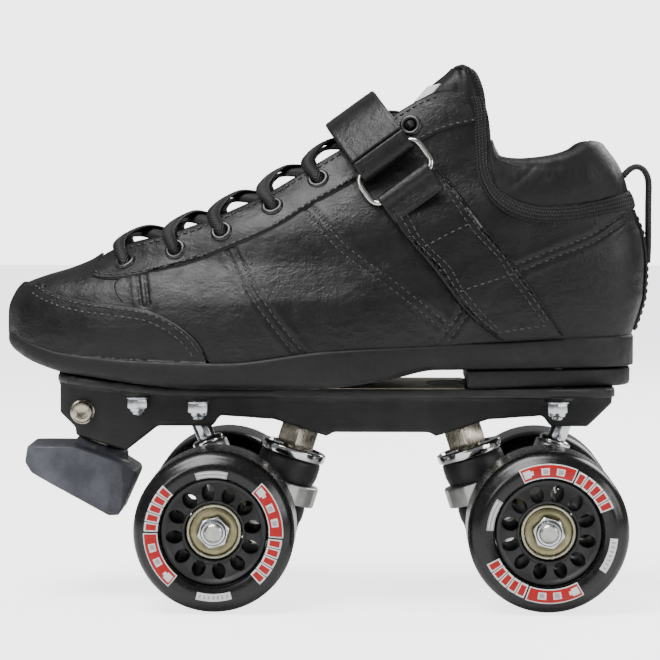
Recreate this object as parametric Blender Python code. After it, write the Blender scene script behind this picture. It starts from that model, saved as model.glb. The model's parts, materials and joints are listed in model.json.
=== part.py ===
"""A left quad roller skate: four wheels on two sprung trucks under a nylon plate, and a laced boot with a strap.

Sizes are in millimetres, and MM turns them into Blender's metres. The toe points to -X, the outer side of the
foot to -Y and up is +Z. The wheels stand on Z = 0, and the origin is under the middle of the skate.
"""

import math

import bmesh
import bpy
from mathutils import Matrix, Vector

MM = 0.001

# Clearances
FIT = 0.3  # between two pieces that seat on each other
PRESS = 0.35  # between a shaft or a seat and what turns round it

# Wheels, bearings and axles
WHEEL_RADIUS = 31.5
WHEEL_WIDTH = 42.0
TYRE_LIP = 6.0
HUB_RADIUS = 20.8
HUB_WIDTH = 34.0
BEARING_OUTER_RADIUS = 11.0
BEARING_INNER_RADIUS = 3.9
BEARING_WIDTH = 7.0
BEARING_RECESS = 2.0
AXLE_RADIUS = 3.5
AXLE_NUT_ACROSS = 11.0
AXLE_NUT_HEIGHT = 5.2
WHEELBASE = 130.0
TRACK = 94.0
AXLES_MID_X = 21.3

# Trucks, measured from the upper cushion cup along the kingpin
KINGPIN_TILT = math.radians(18.0)
KINGPIN_RADIUS = 4.8
KINGPIN_HEX_ACROSS = 15.0
KINGPIN_HEX_HEIGHT = 8.3
CUP_INBOARD = 29.1
CUP_Z = 57.7
CUP_RADIUS = 13.5
CUP_HEIGHT = 4.0
UPPER_CUSHION_RADIUS = 12.7
UPPER_CUSHION_HEIGHT = 9.3
RING_RADIUS = 14.8
RING_HEIGHT = 8.3
RING_BORE_RADIUS = 7.0
LOWER_CUSHION_RADIUS = 12.0
LOWER_CUSHION_HEIGHT = 8.4
KINGPIN_NUT_FLANGE_RADIUS = 11.3
KINGPIN_NUT_FLANGE = 4.0
KINGPIN_NUT_ACROSS = 14.0
KINGPIN_NUT_HEIGHT = 7.0
PIVOT_OUTBOARD = 10.9
PIVOT_Z = 74.5
PIVOT_TILT = math.radians(22.3)
PIVOT_PIN_RADIUS = 3.8
PIVOT_TIP_RADIUS = 4.2
PIVOT_PIN_REACH = 20.0
PIVOT_BOSS_RADIUS = 7.5
PIVOT_BOSS_START = 15.0
PIVOT_BOSS_END = 31.0
HANGER_TUBE_RADIUS = 6.5
HANGER_HALF_WIDTH = 25.0

# Plate
DECK_TOP = 85.0
DECK_THICKNESS = 3.6
DECK_FRONT_X = -109.0
DECK_REAR_X = 114.6
DECK_HALF_WIDTH = 33.5
DECK_RISE = 5.5
DECK_RISE_START_X = -50.0
BEAM_BOTTOM = 66.3
BEAM_HALF_WIDTH = 15.5
TRUCK_ARCH_Z = 73.0
PIVOT_HOUSING_Z = 68.8
BOLT_RADIUS = 2.4
BOLT_NUT_ACROSS = 7.6
BOLT_NUT_HEIGHT = 6.5
BOLT_HEAD_RADIUS = 4.5
BOLT_HEAD_HEIGHT = 2.2
BOLT_HALF_SPACING = 22.0
BOLT_XS = (-76.3, -52.1, 91.7)
BOLT_PAD_RADIUS = 6.2
BOLT_PAD_HEIGHT = 1.6

# Toe stop
STEM_TILT = math.radians(17.0)
STEM_X = -91.5
STEM_Z = 61.9
STEM_RADIUS = 7.5
STEM_LENGTH = 27.0
TOE_STOP_HALF_WIDTH = 20.0
CLAMP_SCREW_X = -99.0
CLAMP_SCREW_Z = 74.5
CLAMP_RADIUS = 2.0
CLAMP_HEAD_RADIUS = 4.2
CLAMP_HEAD_HEIGHT = 4.2
STEM_GRIP = 10.0  # how far the stem goes into the rubber

# Sole
HALF_LENGTH = 130.5
LAST_HALF_LENGTH = 130.5  # the length at which the boot's lines below are drawn
STRETCH = HALF_LENGTH / LAST_HALF_LENGTH
SOLE_FLANGE = 1.3
SOLE_REAR_FLANGE = 0.6
SOLE_PLAN_Z = 104.0  # the height whose section the sole follows in plan
SOLE_EDGE_LIFT = 2.6
HEEL_BLOCK_FRONT_X = 55.0
HEEL_BLOCK_REAR_X = 121.0
HEEL_BLOCK_TOP = 92.4
INSOLE_THICKNESS = 3.0

# Boot
SHELL = 3.0
TONGUE_DEPTH = 8.6
TONGUE_THICKNESS = 4.5
COLLAR_THICKNESS = 8.0
STRAP_WIDTH = 24.0
STRAP_THICKNESS = 1.8
STRAP_RING_WIRE = 1.2
LACE_RADIUS = 1.5
STRAP_EASE = 4.0  # the room a longer boot's flatter facets need under the strap
LACE_SAG = 6.0  # lifts each crossing off the tongue as the eyelets move apart
LACE_TO_THROAT = 7.0  # from an eyelet to where the lace leaves the eyestay
EYELET_HOLE_RADIUS = 2.7
LOOP_THICKNESS = 2.2
LOOP_WIDTH = 11.0
ANCHOR_THICKNESS = 1.5

# The strap lies in a slanted plane through STRAP_MIDDLE. The ring's bars are this far up that plane.
STRAP_MIDDLE = Vector((9.4 * STRETCH, 0, 195.0))
STRAP_ALONG = Vector((0.81 * STRETCH, 0, 0.586)).normalized()
STRAP_RISE = Vector((-STRAP_ALONG.z, 0, STRAP_ALONG.x))
STRAP_RING_TOP = -22.5
STRAP_RING_LOW = -36.5

AROUND = 24  # points round each ring of the boot


# ---------------------------------------------------------------------------------------------------------
# Materials and small helpers
# ---------------------------------------------------------------------------------------------------------


def clear_scene():
    for obj in list(bpy.data.objects):
        bpy.data.objects.remove(obj, do_unlink=True)


def material(name, colour, roughness, metallic=0.0):
    made = bpy.data.materials.new(name)
    made.use_nodes = True
    shader = made.node_tree.nodes["Principled BSDF"]
    shader.inputs["Base Color"].default_value = (*colour, 1.0)
    shader.inputs["Roughness"].default_value = roughness
    shader.inputs["Metallic"].default_value = metallic
    made.diffuse_color = (*colour, 1.0)
    return made


def spline(knots, x):
    """The smooth curve through (x, value) knots, read at x, with flat or straight ends kept in range."""
    if x <= knots[0][0]:
        return knots[0][1]
    if x >= knots[-1][0]:
        return knots[-1][1]
    i = max(k for k in range(len(knots) - 1) if knots[k][0] <= x)
    x0, y0 = knots[i]
    x1, y1 = knots[i + 1]
    step = (y1 - y0) / (x1 - x0)

    def slope(k):
        if k in (0, len(knots) - 1):
            return step
        before = (knots[k][1] - knots[k - 1][1]) / (knots[k][0] - knots[k - 1][0])
        after = (knots[k + 1][1] - knots[k][1]) / (knots[k + 1][0] - knots[k][0])
        if before * after <= 0:
            return 0.0
        return 2 * before * after / (before + after)

    t = (x - x0) / (x1 - x0)
    width = x1 - x0
    return (
        y0 * (1 + 2 * t) * (1 - t) ** 2
        + slope(i) * width * t * (1 - t) ** 2
        + y1 * t * t * (3 - 2 * t)
        + slope(i + 1) * width * t * t * (t - 1)
    )


def smooth(t):
    t = min(max(t, 0.0), 1.0)
    return t * t * (3 - 2 * t)


def frame(origin, up, side=(0, 1, 0)):
    """The matrix that stands local Z along up and keeps local Y as near to side as it can, from millimetres."""
    z = Vector(up).normalized()
    x = Vector(side).cross(z).normalized()
    y = z.cross(x)
    turned_by = Matrix((x, y, z)).transposed().to_4x4()
    return Matrix.Translation(Vector(origin) * MM) @ turned_by


WORLD = Matrix.Identity(4)


def add_object(name, points, faces, mat, place=WORLD):
    """A mesh object from millimetre points in the frame of place, with its normals facing out."""
    mesh = bpy.data.meshes.new(name)
    shape = bmesh.new()
    corners = [shape.verts.new(Vector(point) * MM) for point in points]
    for face in faces:
        shape.faces.new([corners[i] for i in face])
    bmesh.ops.recalc_face_normals(shape, faces=shape.faces)
    shape.to_mesh(mesh)
    shape.free()
    mesh.shade_smooth()
    mesh.set_sharp_from_angle(angle=math.radians(35))
    mesh.materials.append(mat)
    obj = bpy.data.objects.new(name, mesh)
    obj.matrix_world = place
    bpy.context.scene.collection.objects.link(obj)
    return obj


def turned(name, profile, mat, place=WORLD, sides=24):
    """A solid of revolution about local Z from (radius, height) points. A radius may be ("hex", across flats).

    The polygon's flats lie at the stated radius, and one of them faces local -Y. A profile that doesn't start
    and end on the axis is closed on itself, as a ring's is.
    """
    points = []
    rings = []
    for radius, height in profile:
        if radius == 0:
            rings.append([len(points)])
            points.append((0, 0, height))
            continue
        ring = []
        for i in range(sides):
            angle = 2 * math.pi * (i + 0.5) / sides
            if isinstance(radius, tuple):
                from_flat = (angle + math.pi / 6) % (math.pi / 3) - math.pi / 6
                reach = radius[1] / 2 / math.cos(from_flat)
            else:
                reach = radius / math.cos(math.pi / sides)
            ring.append(len(points))
            points.append((reach * math.cos(angle), reach * math.sin(angle), height))
        rings.append(ring)
    pairs = list(zip(rings, rings[1:]))
    if len(rings[0]) > 1 and len(rings[-1]) > 1:
        pairs.append((rings[-1], rings[0]))
    faces = []
    for low, high in pairs:
        for i in range(sides):
            j = (i + 1) % sides
            if len(low) == 1:
                faces.append((low[0], high[j], high[i]))
            elif len(high) == 1:
                faces.append((low[i], low[j], high[0]))
            else:
                faces.append((low[i], low[j], high[j], high[i]))
    return add_object(name, points, faces, mat, place)


def stacked(name, rings, mat, place=WORLD, closed=False):
    """A solid through rings of the same count. Its ends are capped across, from each side to the other."""
    count = len(rings[0])
    points = [point for ring in rings for point in ring]
    faces = []
    levels = len(rings)
    for k in range(levels if closed else levels - 1):
        low = k * count
        high = (k + 1) % levels * count
        for i in range(count):
            j = (i + 1) % count
            faces.append((low + i, low + j, high + j, high + i))
    if not closed:
        for start in (0, (levels - 1) * count):
            faces.append((start, start + 1, start + count - 1))
            for i in range(1, count // 2 - 1):
                faces.append((start + i, start + i + 1, start + count - i - 1, start + count - i))
            faces.append((start + count // 2 - 1, start + count // 2, start + count // 2 + 1))
    return add_object(name, points, faces, mat, place)


def prism(name, outline, low, high, mat, place=WORLD):
    """The (x, z) outline drawn through from y = low to y = high."""
    count = len(outline)
    points = [(x, low, z) for x, z in outline] + [(x, high, z) for x, z in outline]
    faces = [tuple(range(count)), tuple(range(2 * count - 1, count - 1, -1))]
    for i in range(count):
        j = (i + 1) % count
        faces.append((i, j, count + j, count + i))
    return add_object(name, points, faces, mat, place)


def combine(target, tool, operation):
    """A Boolean that keeps the helper object out of the model."""
    modifier = target.modifiers.new(tool.name, "BOOLEAN")
    modifier.operation = operation
    modifier.object = tool
    tool.hide_render = True
    tool.display_type = "WIRE"
    return target


def cut(target, *tools):
    for tool in tools:
        combine(target, tool, "DIFFERENCE")
    return target


def join(target, *tools):
    for tool in tools:
        combine(target, tool, "UNION")
    return target


def keep(target, tool):
    return combine(target, tool, "INTERSECT")


def tube(name, route, radius, mat):
    """A closed round cord along a list of points."""
    curve = bpy.data.curves.new(name, "CURVE")
    curve.dimensions = "3D"
    curve.bevel_depth = radius * MM
    curve.bevel_resolution = 2
    curve.use_fill_caps = True
    line = curve.splines.new("POLY")
    line.points.add(len(route) - 1)
    for knot, point in zip(line.points, route):
        knot.co = (*(Vector(point) * MM), 1.0)
    curve.materials.append(mat)
    obj = bpy.data.objects.new(name, curve)
    bpy.context.scene.collection.objects.link(obj)
    return obj


def ribbon(name, route, across, width, thickness, mat):
    """A flat band along a route of (centre, outward normal) pairs, with its width along across."""
    rings = []
    side = Vector(across).normalized() * width / 2
    for centre, normal in route:
        rise = Vector(normal).normalized() * thickness / 2
        middle = Vector(centre)
        rings.append(
            [middle - side + rise, middle + side + rise, middle + side - rise, middle - side - rise]
        )
    points = [point for ring in rings for point in ring]
    faces = [(3, 2, 1, 0), tuple(len(points) - 4 + i for i in range(4))]
    for k in range(len(rings) - 1):
        for i in range(4):
            j = (i + 1) % 4
            faces.append((k * 4 + i, k * 4 + j, k * 4 + 4 + j, k * 4 + 4 + i))
    return add_object(name, points, faces, mat)


# ---------------------------------------------------------------------------------------------------------
# The boot's outer surface: its half width at any (x, z)
# ---------------------------------------------------------------------------------------------------------

def lengthwise(points):
    """Side-view (x, z) points of the boot, kept to its length."""
    return tuple((x * STRETCH, z) for x, z in points)


def by_height(knots):
    """(z, x) knots of the boot, kept to its length."""
    return tuple((z, x * STRETCH) for z, x in knots)


# The upper's lower edge, where it meets the sole.
FEATHER = lengthwise(
    (
        (-130, 106.7), (-118, 102.6), (-106, 99.5), (-75, 97.0), (-42, 96.3), (1, 101.2), (54, 103.3),
        (109, 106.0),
    )
)
# The foremost point at each height: the toe, then the vamp's ridge, then the tongue's front.
FRONT = by_height(
    (
        (96, -128.2),
        (108, -129.9),
        (115, -129.7),
        (121, -127.4),
        (125.5, -123.6),
        (129, -115.5),
        (132.4, -104.5),
        (135.8, -96.0),
        (140.6, -89.0),
        (146, -79.5),
        (151.5, -63.0),
        (158.5, -43.0),
        (166, -26.5),
        (174, -13.0),
        (182, 0.5),
        (190, 12.5),
        (200, 27.0),
        (208, 34.5),
        (218, 43.0),
        (228, 50.0),
    )
)
# The rearmost point at each height: the heel, then the collar.
BACK = by_height(
    (
        (96, 121.0), (106, 123.0), (115, 125.9), (122, 127.5), (134, 127.9), (145, 126.7), (154, 123.6),
        (163, 120.2), (173, 115.2), (183, 110.5), (228, 96.0),
    )
)
# Half widths at the ball of the foot and at the heel.
BALL = (
    (96, 46.0), (108, 47.0), (118, 46.0), (128, 42.0), (136, 39.0), (150, 36.5), (160, 33.0), (170, 29.0),
    (182, 26.5), (200, 25.0), (228, 24.0),
)
HEEL = (
    (96, 34.5), (110, 35.0), (125, 34.0), (140, 31.5), (152, 30.0), (165, 31.0), (180, 33.0), (228, 33.0),
)
FEATHER_MEAN = 101.0
TOE_POWER = 2.6
BACK_POWER = 3.0


def side_bend(x):
    """The foot's curve in plan: the toe leans to the inner side."""
    x = x / STRETCH
    return 6.0 * smooth((-30.0 - x) / 95.0) - 2.0 * smooth((x + 60.0) / 40.0) * smooth((60.0 - x) / 60.0)


def widest_x(z):
    return 0.42 * spline(FRONT, z) + 0.58 * spline(BACK, z) - 28.0 * STRETCH * smooth((150.0 - z) / 50.0)


def plan_point(z, turn):
    """The (x, half width) point of the horizontal section at z, for a turn of 0 at the toe to 1 at the heel."""
    front = spline(FRONT, z)
    back = spline(BACK, z)
    widest = widest_x(z)
    ball = spline(BALL, z)
    heel = spline(HEEL, z)
    angle = math.pi * turn
    if turn <= 0.5:
        power = 2.0 / TOE_POWER
        x = widest - (widest - front) * max(math.cos(angle), 0.0) ** power
        return x, ball * max(math.sin(angle), 0.0) ** power
    power = 2.0 / BACK_POWER
    along = max(-math.cos(angle), 0.0) ** power
    x = widest + (back - widest) * along
    width = ball + (heel - ball) * smooth(along * 1.25)
    return x, width * max(math.sin(angle), 0.0) ** power


def half_width(x, z):
    """The outer surface's half width at (x, z), before the side bend."""
    low = 0.0
    high = 1.0
    if x <= spline(FRONT, z) or x >= spline(BACK, z):
        return 0.0
    for _ in range(30):
        middle = (low + high) / 2
        if plan_point(z, middle)[0] < x:
            low = middle
        else:
            high = middle
    return plan_point(z, low)[1]


def skin(x, z, side):
    """The surface point at (x, z) on the outer (side = -1) or the inner (side = 1) half."""
    return Vector((x, side_bend(x) + side * half_width(x, z), z))


def skin_normal(x, z, side):
    """The outward normal at (x, z)."""
    step = 0.6
    along = skin(x + step, z, side) - skin(x - step, z, side)
    up = skin(x, z + step, side) - skin(x, z - step, side)
    return (along.cross(up) * -side).normalized()


def boot_ring(height, follow):
    """The section round the boot at a height. follow is how far it keeps to the slope of the lower edge."""
    ring = []
    for i in range(AROUND):
        turn = 2 * i / AROUND
        side = -1 if turn <= 1 else 1
        turn = turn if turn <= 1 else 2 - turn
        z = height
        for _ in range(4):
            x = plan_point(z, turn)[0]
            z = height + follow * (spline(FEATHER, x) - FEATHER_MEAN)
        x, width = plan_point(z, turn)
        ring.append(Vector((x, side_bend(x) + side * width, z)))
    return ring


# The rings of the boot's surface: a height, and how far the ring keeps to the slope of the lower edge.
LEVELS = (
    (101.4, 1.0),
    (108.0, 0.85),
    (114.0, 0.6),
    (119.5, 0.35),
    (124.0, 0.15),
    (127.5, 0.0),
    (131.0, 0.0),
    (135.0, 0.0),
    (140.0, 0.0),
    (146.0, 0.0),
    (153.0, 0.0),
    (161.0, 0.0),
    (170.0, 0.0),
    (180.0, 0.0),
    (192.0, 0.0),
    (206.0, 0.0),
    (226.0, 0.0),
)


def boot_sheet(name, depth, thickness, mat, levels=LEVELS):
    """The boot's surface moved in by depth, thickened inwards: a wall open at the sole and at the top."""
    rings = [boot_ring(height, follow) for height, follow in levels]
    points = [point for ring in rings for point in ring]
    faces = []
    for k in range(len(rings) - 1):
        for i in range(AROUND):
            j = (i + 1) % AROUND
            low = k * AROUND
            faces.append((low + i, low + AROUND + i, low + AROUND + j, low + j))
    mesh = bpy.data.meshes.new(name)
    mesh.from_pydata([tuple(point * MM) for point in points], [], faces)
    mesh.update()
    normals = [Vector(vertex.normal) for vertex in mesh.vertices]
    outward = 1.0 if normals[0].x < 0 else -1.0
    outer = [point - normal * outward * depth for point, normal in zip(points, normals)]
    inner = [point - normal * outward * (depth + thickness) for point, normal in zip(points, normals)]
    bpy.data.meshes.remove(mesh)
    count = len(points)
    walls = list(faces) + [tuple(count + i for i in reversed(face)) for face in faces]
    top = count - AROUND
    for i in range(AROUND):
        j = (i + 1) % AROUND
        walls.append((i, j, count + j, count + i))
        walls.append((top + j, top + i, count + top + i, count + top + j))
    return add_object(name, outer + inner, walls, mat)


# ---------------------------------------------------------------------------------------------------------
# Wheels
# ---------------------------------------------------------------------------------------------------------


def wheel_names():
    for end, truck in ((-1, "front"), (1, "rear")):
        for side, place in ((-1, "outer"), (1, "inner")):
            yield end, side, f"{truck}_{place}"


def axle_x(end):
    return AXLES_MID_X + end * WHEELBASE / 2


def build_wheels(mats):
    """Each wheel is built about local Z, which points from the truck to the wheel's face."""
    half = WHEEL_WIDTH / 2
    bore = HUB_RADIUS + FIT / 2
    tyre = (
        (bore, -half + 1.5),
        (bore + 2.5, -half),
        (WHEEL_RADIUS - TYRE_LIP, -half),
        (WHEEL_RADIUS - TYRE_LIP * 0.29, -half + TYRE_LIP * 0.29),
        (WHEEL_RADIUS, -half + TYRE_LIP),
        (WHEEL_RADIUS, half - TYRE_LIP),
        (WHEEL_RADIUS - TYRE_LIP * 0.29, half - TYRE_LIP * 0.29),
        (WHEEL_RADIUS - TYRE_LIP, half),
        (bore + 2.5, half),
        (bore, half - 1.5),
    )
    hub_half = HUB_WIDTH / 2
    bearing_far = hub_half - BEARING_RECESS
    bearing_near = bearing_far - BEARING_WIDTH
    seat = BEARING_OUTER_RADIUS + PRESS
    shoulder = BEARING_OUTER_RADIUS - 2.5
    hub_out = HUB_RADIUS - FIT / 2
    hub = (
        (seat, -hub_half),
        (hub_out, -hub_half),
        (hub_out, hub_half),
        (seat, hub_half),
        (seat, bearing_near - FIT),
        (shoulder, bearing_near - FIT),
        (shoulder, -bearing_near + FIT),
        (seat, -bearing_near + FIT),
    )
    bearing = (
        (BEARING_INNER_RADIUS, -BEARING_WIDTH / 2),
        (BEARING_OUTER_RADIUS, -BEARING_WIDTH / 2),
        (BEARING_OUTER_RADIUS, BEARING_WIDTH / 2),
        (BEARING_INNER_RADIUS, BEARING_WIDTH / 2),
    )
    nut = (
        (AXLE_RADIUS + PRESS, 0),
        (("hex", AXLE_NUT_ACROSS), 0),
        (("hex", AXLE_NUT_ACROSS), AXLE_NUT_HEIGHT),
        (AXLE_RADIUS + PRESS, AXLE_NUT_HEIGHT),
    )
    bearing_middle = (bearing_far + bearing_near) / 2
    for end, side, name in wheel_names():
        x = axle_x(end)
        y = side * TRACK / 2
        z = WHEEL_RADIUS
        centre = frame((x, y, z), (0, side, 0), (0, 0, 1))
        turned(f"{name}_tyre", tyre, mats["urethane"], centre)
        turned(f"{name}_hub", hub, mats["hub"], centre, 20)
        for where, offset in (("outer_bearing", bearing_middle), ("inner_bearing", -bearing_middle)):
            seat_at = frame((x, y + side * offset, z), (0, side, 0), (0, 0, 1))
            turned(f"{name}_{where}", bearing, mats["bearing"], seat_at, 16)
        nut_at = frame((x, y + side * (bearing_far + FIT), z), (0, side, 0), (0, 0, 1))
        turned(f"{name}_axle_nut", nut, mats["zinc"], nut_at, 12)


# ---------------------------------------------------------------------------------------------------------
# Trucks
# ---------------------------------------------------------------------------------------------------------

CUSHION_TOP = CUP_HEIGHT / 2 + FIT
RING_TOP = CUSHION_TOP + UPPER_CUSHION_HEIGHT + FIT
LOWER_CUSHION_TOP = RING_TOP + RING_HEIGHT + FIT
NUT_TOP = LOWER_CUSHION_TOP + LOWER_CUSHION_HEIGHT + FIT


def king_frame(end):
    """Local Z runs down the kingpin from the middle of the upper cup."""
    cup = (axle_x(end) - end * CUP_INBOARD, 0, CUP_Z)
    down = (end * math.sin(KINGPIN_TILT), 0, -math.cos(KINGPIN_TILT))
    return frame(cup, down)


def ring_centre(end):
    middle = RING_TOP + RING_HEIGHT / 2
    x = axle_x(end) - end * CUP_INBOARD + end * math.sin(KINGPIN_TILT) * middle
    return Vector((x, 0, CUP_Z - math.cos(KINGPIN_TILT) * middle))


def pivot_point(end):
    return Vector((axle_x(end) + end * PIVOT_OUTBOARD, 0, PIVOT_Z))


def pivot_frame(end):
    """Local Z runs down the pivot pin from the middle of its round tip."""
    down = (-end * math.sin(PIVOT_TILT), 0, -math.cos(PIVOT_TILT))
    return frame(pivot_point(end), down)


def build_hanger(end, name, mats):
    king = king_frame(end)
    pivot = pivot_frame(end)
    x = axle_x(end)
    across = frame((x, 0, WHEEL_RADIUS), (0, 1, 0), (0, 0, 1))
    shoulder = TRACK / 2 - HUB_WIDTH / 2 + BEARING_RECESS - FIT
    neck = BEARING_OUTER_RADIUS / 2
    body = (
        (0, -shoulder),
        (neck, -shoulder),
        (neck, -HANGER_HALF_WIDTH - 1),
        (HANGER_TUBE_RADIUS, -HANGER_HALF_WIDTH),
        (HANGER_TUBE_RADIUS, HANGER_HALF_WIDTH),
        (neck, HANGER_HALF_WIDTH + 1),
        (neck, shoulder),
        (0, shoulder),
    )
    hanger = turned(f"{name}_hanger", body, mats["truck_metal"], across, 16)
    ring_low = RING_TOP + RING_HEIGHT
    ring = turned(
        f"{name}_hanger_ring",
        ((0, RING_TOP), (RING_RADIUS, RING_TOP), (RING_RADIUS, ring_low), (0, ring_low)),
        mats["truck_metal"],
        king,
        20,
    )
    boss = turned(
        f"{name}_hanger_boss",
        (
            (0, PIVOT_BOSS_START),
            (PIVOT_BOSS_RADIUS, PIVOT_BOSS_START),
            (PIVOT_BOSS_RADIUS, PIVOT_BOSS_END),
            (0, PIVOT_BOSS_END),
        ),
        mats["truck_metal"],
        pivot,
        16,
    )
    # The web in side view joins the ring's rim, the axle tube and the pivot boss.
    centre = ring_centre(end)
    down = Vector((end * math.sin(KINGPIN_TILT), 0, -math.cos(KINGPIN_TILT)))
    out = Vector((end * math.cos(KINGPIN_TILT), 0, math.sin(KINGPIN_TILT)))
    top = centre + out * (RING_RADIUS - 4) - down * (RING_HEIGHT / 2 - 0.6)
    low = centre + out * (RING_RADIUS - 1) + down * (RING_HEIGHT / 2 - 0.8)
    outline = [
        (top.x, top.z),
        (low.x, low.z),
        (x - end * 4, WHEEL_RADIUS - 3),
        (x + end * 6, WHEEL_RADIUS),
        (x + end * 5, PIVOT_Z - 21),
        (x - end * 1, PIVOT_Z - 19),
    ]
    web = prism(f"{name}_hanger_web", outline, -8, 8, mats["truck_metal"])
    join(hanger, ring, boss, web)
    bore = turned(
        f"{name}_hanger_ring_bore",
        (
            (0, RING_TOP - 3),
            (RING_BORE_RADIUS, RING_TOP - 3),
            (RING_BORE_RADIUS, ring_low + 3),
            (0, ring_low + 3),
        ),
        mats["truck_metal"],
        king,
        16,
    )
    axle_bore = turned(
        f"{name}_hanger_axle_bore",
        ((0, -60), (AXLE_RADIUS + PRESS, -60), (AXLE_RADIUS + PRESS, 60), (0, 60)),
        mats["truck_metal"],
        across,
        12,
    )
    socket = PIVOT_PIN_RADIUS + PRESS
    pin_hole = turned(
        f"{name}_hanger_pin_hole",
        ((0, 5), (socket, 5), (socket, PIVOT_PIN_REACH + FIT), (0, PIVOT_PIN_REACH + FIT)),
        mats["truck_metal"],
        pivot,
        12,
    )
    cut(hanger, bore, axle_bore, pin_hole)


def build_trucks(mats):
    for end, name in ((-1, "front"), (1, "rear")):
        build_hanger(end, name, mats)
        king = king_frame(end)
        hole = KINGPIN_RADIUS + PRESS
        axle_end = TRACK / 2 + HUB_WIDTH / 2 - BEARING_RECESS + FIT + AXLE_NUT_HEIGHT + 0.4
        across = frame((axle_x(end), 0, WHEEL_RADIUS), (0, 1, 0), (0, 0, 1))
        turned(
            f"{name}_axle",
            ((0, -axle_end), (AXLE_RADIUS, -axle_end), (AXLE_RADIUS, axle_end), (0, axle_end)),
            mats["steel"],
            across,
            12,
        )
        hex_low = -CUP_HEIGHT / 2 - FIT
        hex_high = hex_low - KINGPIN_HEX_HEIGHT
        pin_end = NUT_TOP + KINGPIN_NUT_FLANGE + KINGPIN_NUT_HEIGHT + 2
        turned(
            f"{name}_kingpin",
            (
                (0, hex_high - 9),
                (KINGPIN_RADIUS, hex_high - 9),
                (KINGPIN_RADIUS, hex_high),
                (("hex", KINGPIN_HEX_ACROSS), hex_high),
                (("hex", KINGPIN_HEX_ACROSS), hex_low),
                (KINGPIN_RADIUS, hex_low),
                (KINGPIN_RADIUS, pin_end),
                (0, pin_end),
            ),
            mats["steel"],
            king,
            12,
        )
        for part, radii, start, height, mat in (
            ("upper_cup", (CUP_RADIUS, CUP_RADIUS), -CUP_HEIGHT / 2, CUP_HEIGHT, "chrome"),
            (
                "upper_cushion",
                (UPPER_CUSHION_RADIUS, UPPER_CUSHION_RADIUS - 0.8),
                CUSHION_TOP,
                UPPER_CUSHION_HEIGHT,
                "cushion",
            ),
            (
                "lower_cushion",
                (LOWER_CUSHION_RADIUS, LOWER_CUSHION_RADIUS - 0.8),
                LOWER_CUSHION_TOP,
                LOWER_CUSHION_HEIGHT,
                "cushion",
            ),
        ):
            turned(
                f"{name}_{part}",
                ((hole, start), (radii[0], start), (radii[1], start + height), (hole, start + height)),
                mats[mat],
                king,
                18,
            )
        flange = NUT_TOP + KINGPIN_NUT_FLANGE
        turned(
            f"{name}_kingpin_nut",
            (
                (hole, NUT_TOP),
                (KINGPIN_NUT_FLANGE_RADIUS, NUT_TOP),
                (KINGPIN_NUT_FLANGE_RADIUS - 1.5, flange),
                (("hex", KINGPIN_NUT_ACROSS), flange),
                (("hex", KINGPIN_NUT_ACROSS), flange + KINGPIN_NUT_HEIGHT),
                (hole, flange + KINGPIN_NUT_HEIGHT),
            ),
            mats["chrome"],
            king,
            12,
        )
        tip = PIVOT_TIP_RADIUS
        rise = tip * math.sin(math.radians(45))
        turned(
            f"{name}_pivot_pin",
            (
                (0, -tip),
                (rise, -rise),
                (tip, 0),
                (rise, rise),
                (PIVOT_PIN_RADIUS - 0.8, rise + 1),
                (PIVOT_PIN_RADIUS, rise + 2),
                (PIVOT_PIN_RADIUS, PIVOT_PIN_REACH),
                (0, PIVOT_PIN_REACH),
            ),
            mats["steel"],
            pivot_frame(end),
            12,
        )


# ---------------------------------------------------------------------------------------------------------
# Plate, its bolts and the toe stop
# ---------------------------------------------------------------------------------------------------------


def deck_top(x):
    along = (DECK_RISE_START_X - x) / (DECK_RISE_START_X - DECK_FRONT_X)
    return DECK_TOP + DECK_RISE * smooth(along * 0.75) / smooth(0.75)


def deck_half(x):
    """The deck's half width, with rounded corners at both ends."""
    half = DECK_HALF_WIDTH
    for edge, corner in ((DECK_FRONT_X, 17.0), (DECK_REAR_X, 11.0)):
        into = abs(x - edge)
        if into < corner:
            half = DECK_HALF_WIDTH - corner + math.sqrt(corner**2 - (corner - into) ** 2)
    return half


def deck_ring(drop):
    """The deck's outline, with more points where it rises toward the toe."""
    length = DECK_REAR_X - DECK_FRONT_X
    stations = [0.3, 2, 5, 10, 17, 26, 36, 47, 59, length * 0.6]
    stations += [length - 11, length - 6, length - 2, length - 0.2]
    near = [(DECK_FRONT_X + into, -deck_half(DECK_FRONT_X + into)) for into in stations]
    far = [(x, -y) for x, y in reversed(near)]
    nose = [(DECK_FRONT_X, 0.0)]
    tail = [(DECK_REAR_X, 0.0)]
    return [(x, y + side_bend(x) * 0.4, deck_top(x) - drop) for x, y in nose + near + tail + far]


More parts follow.
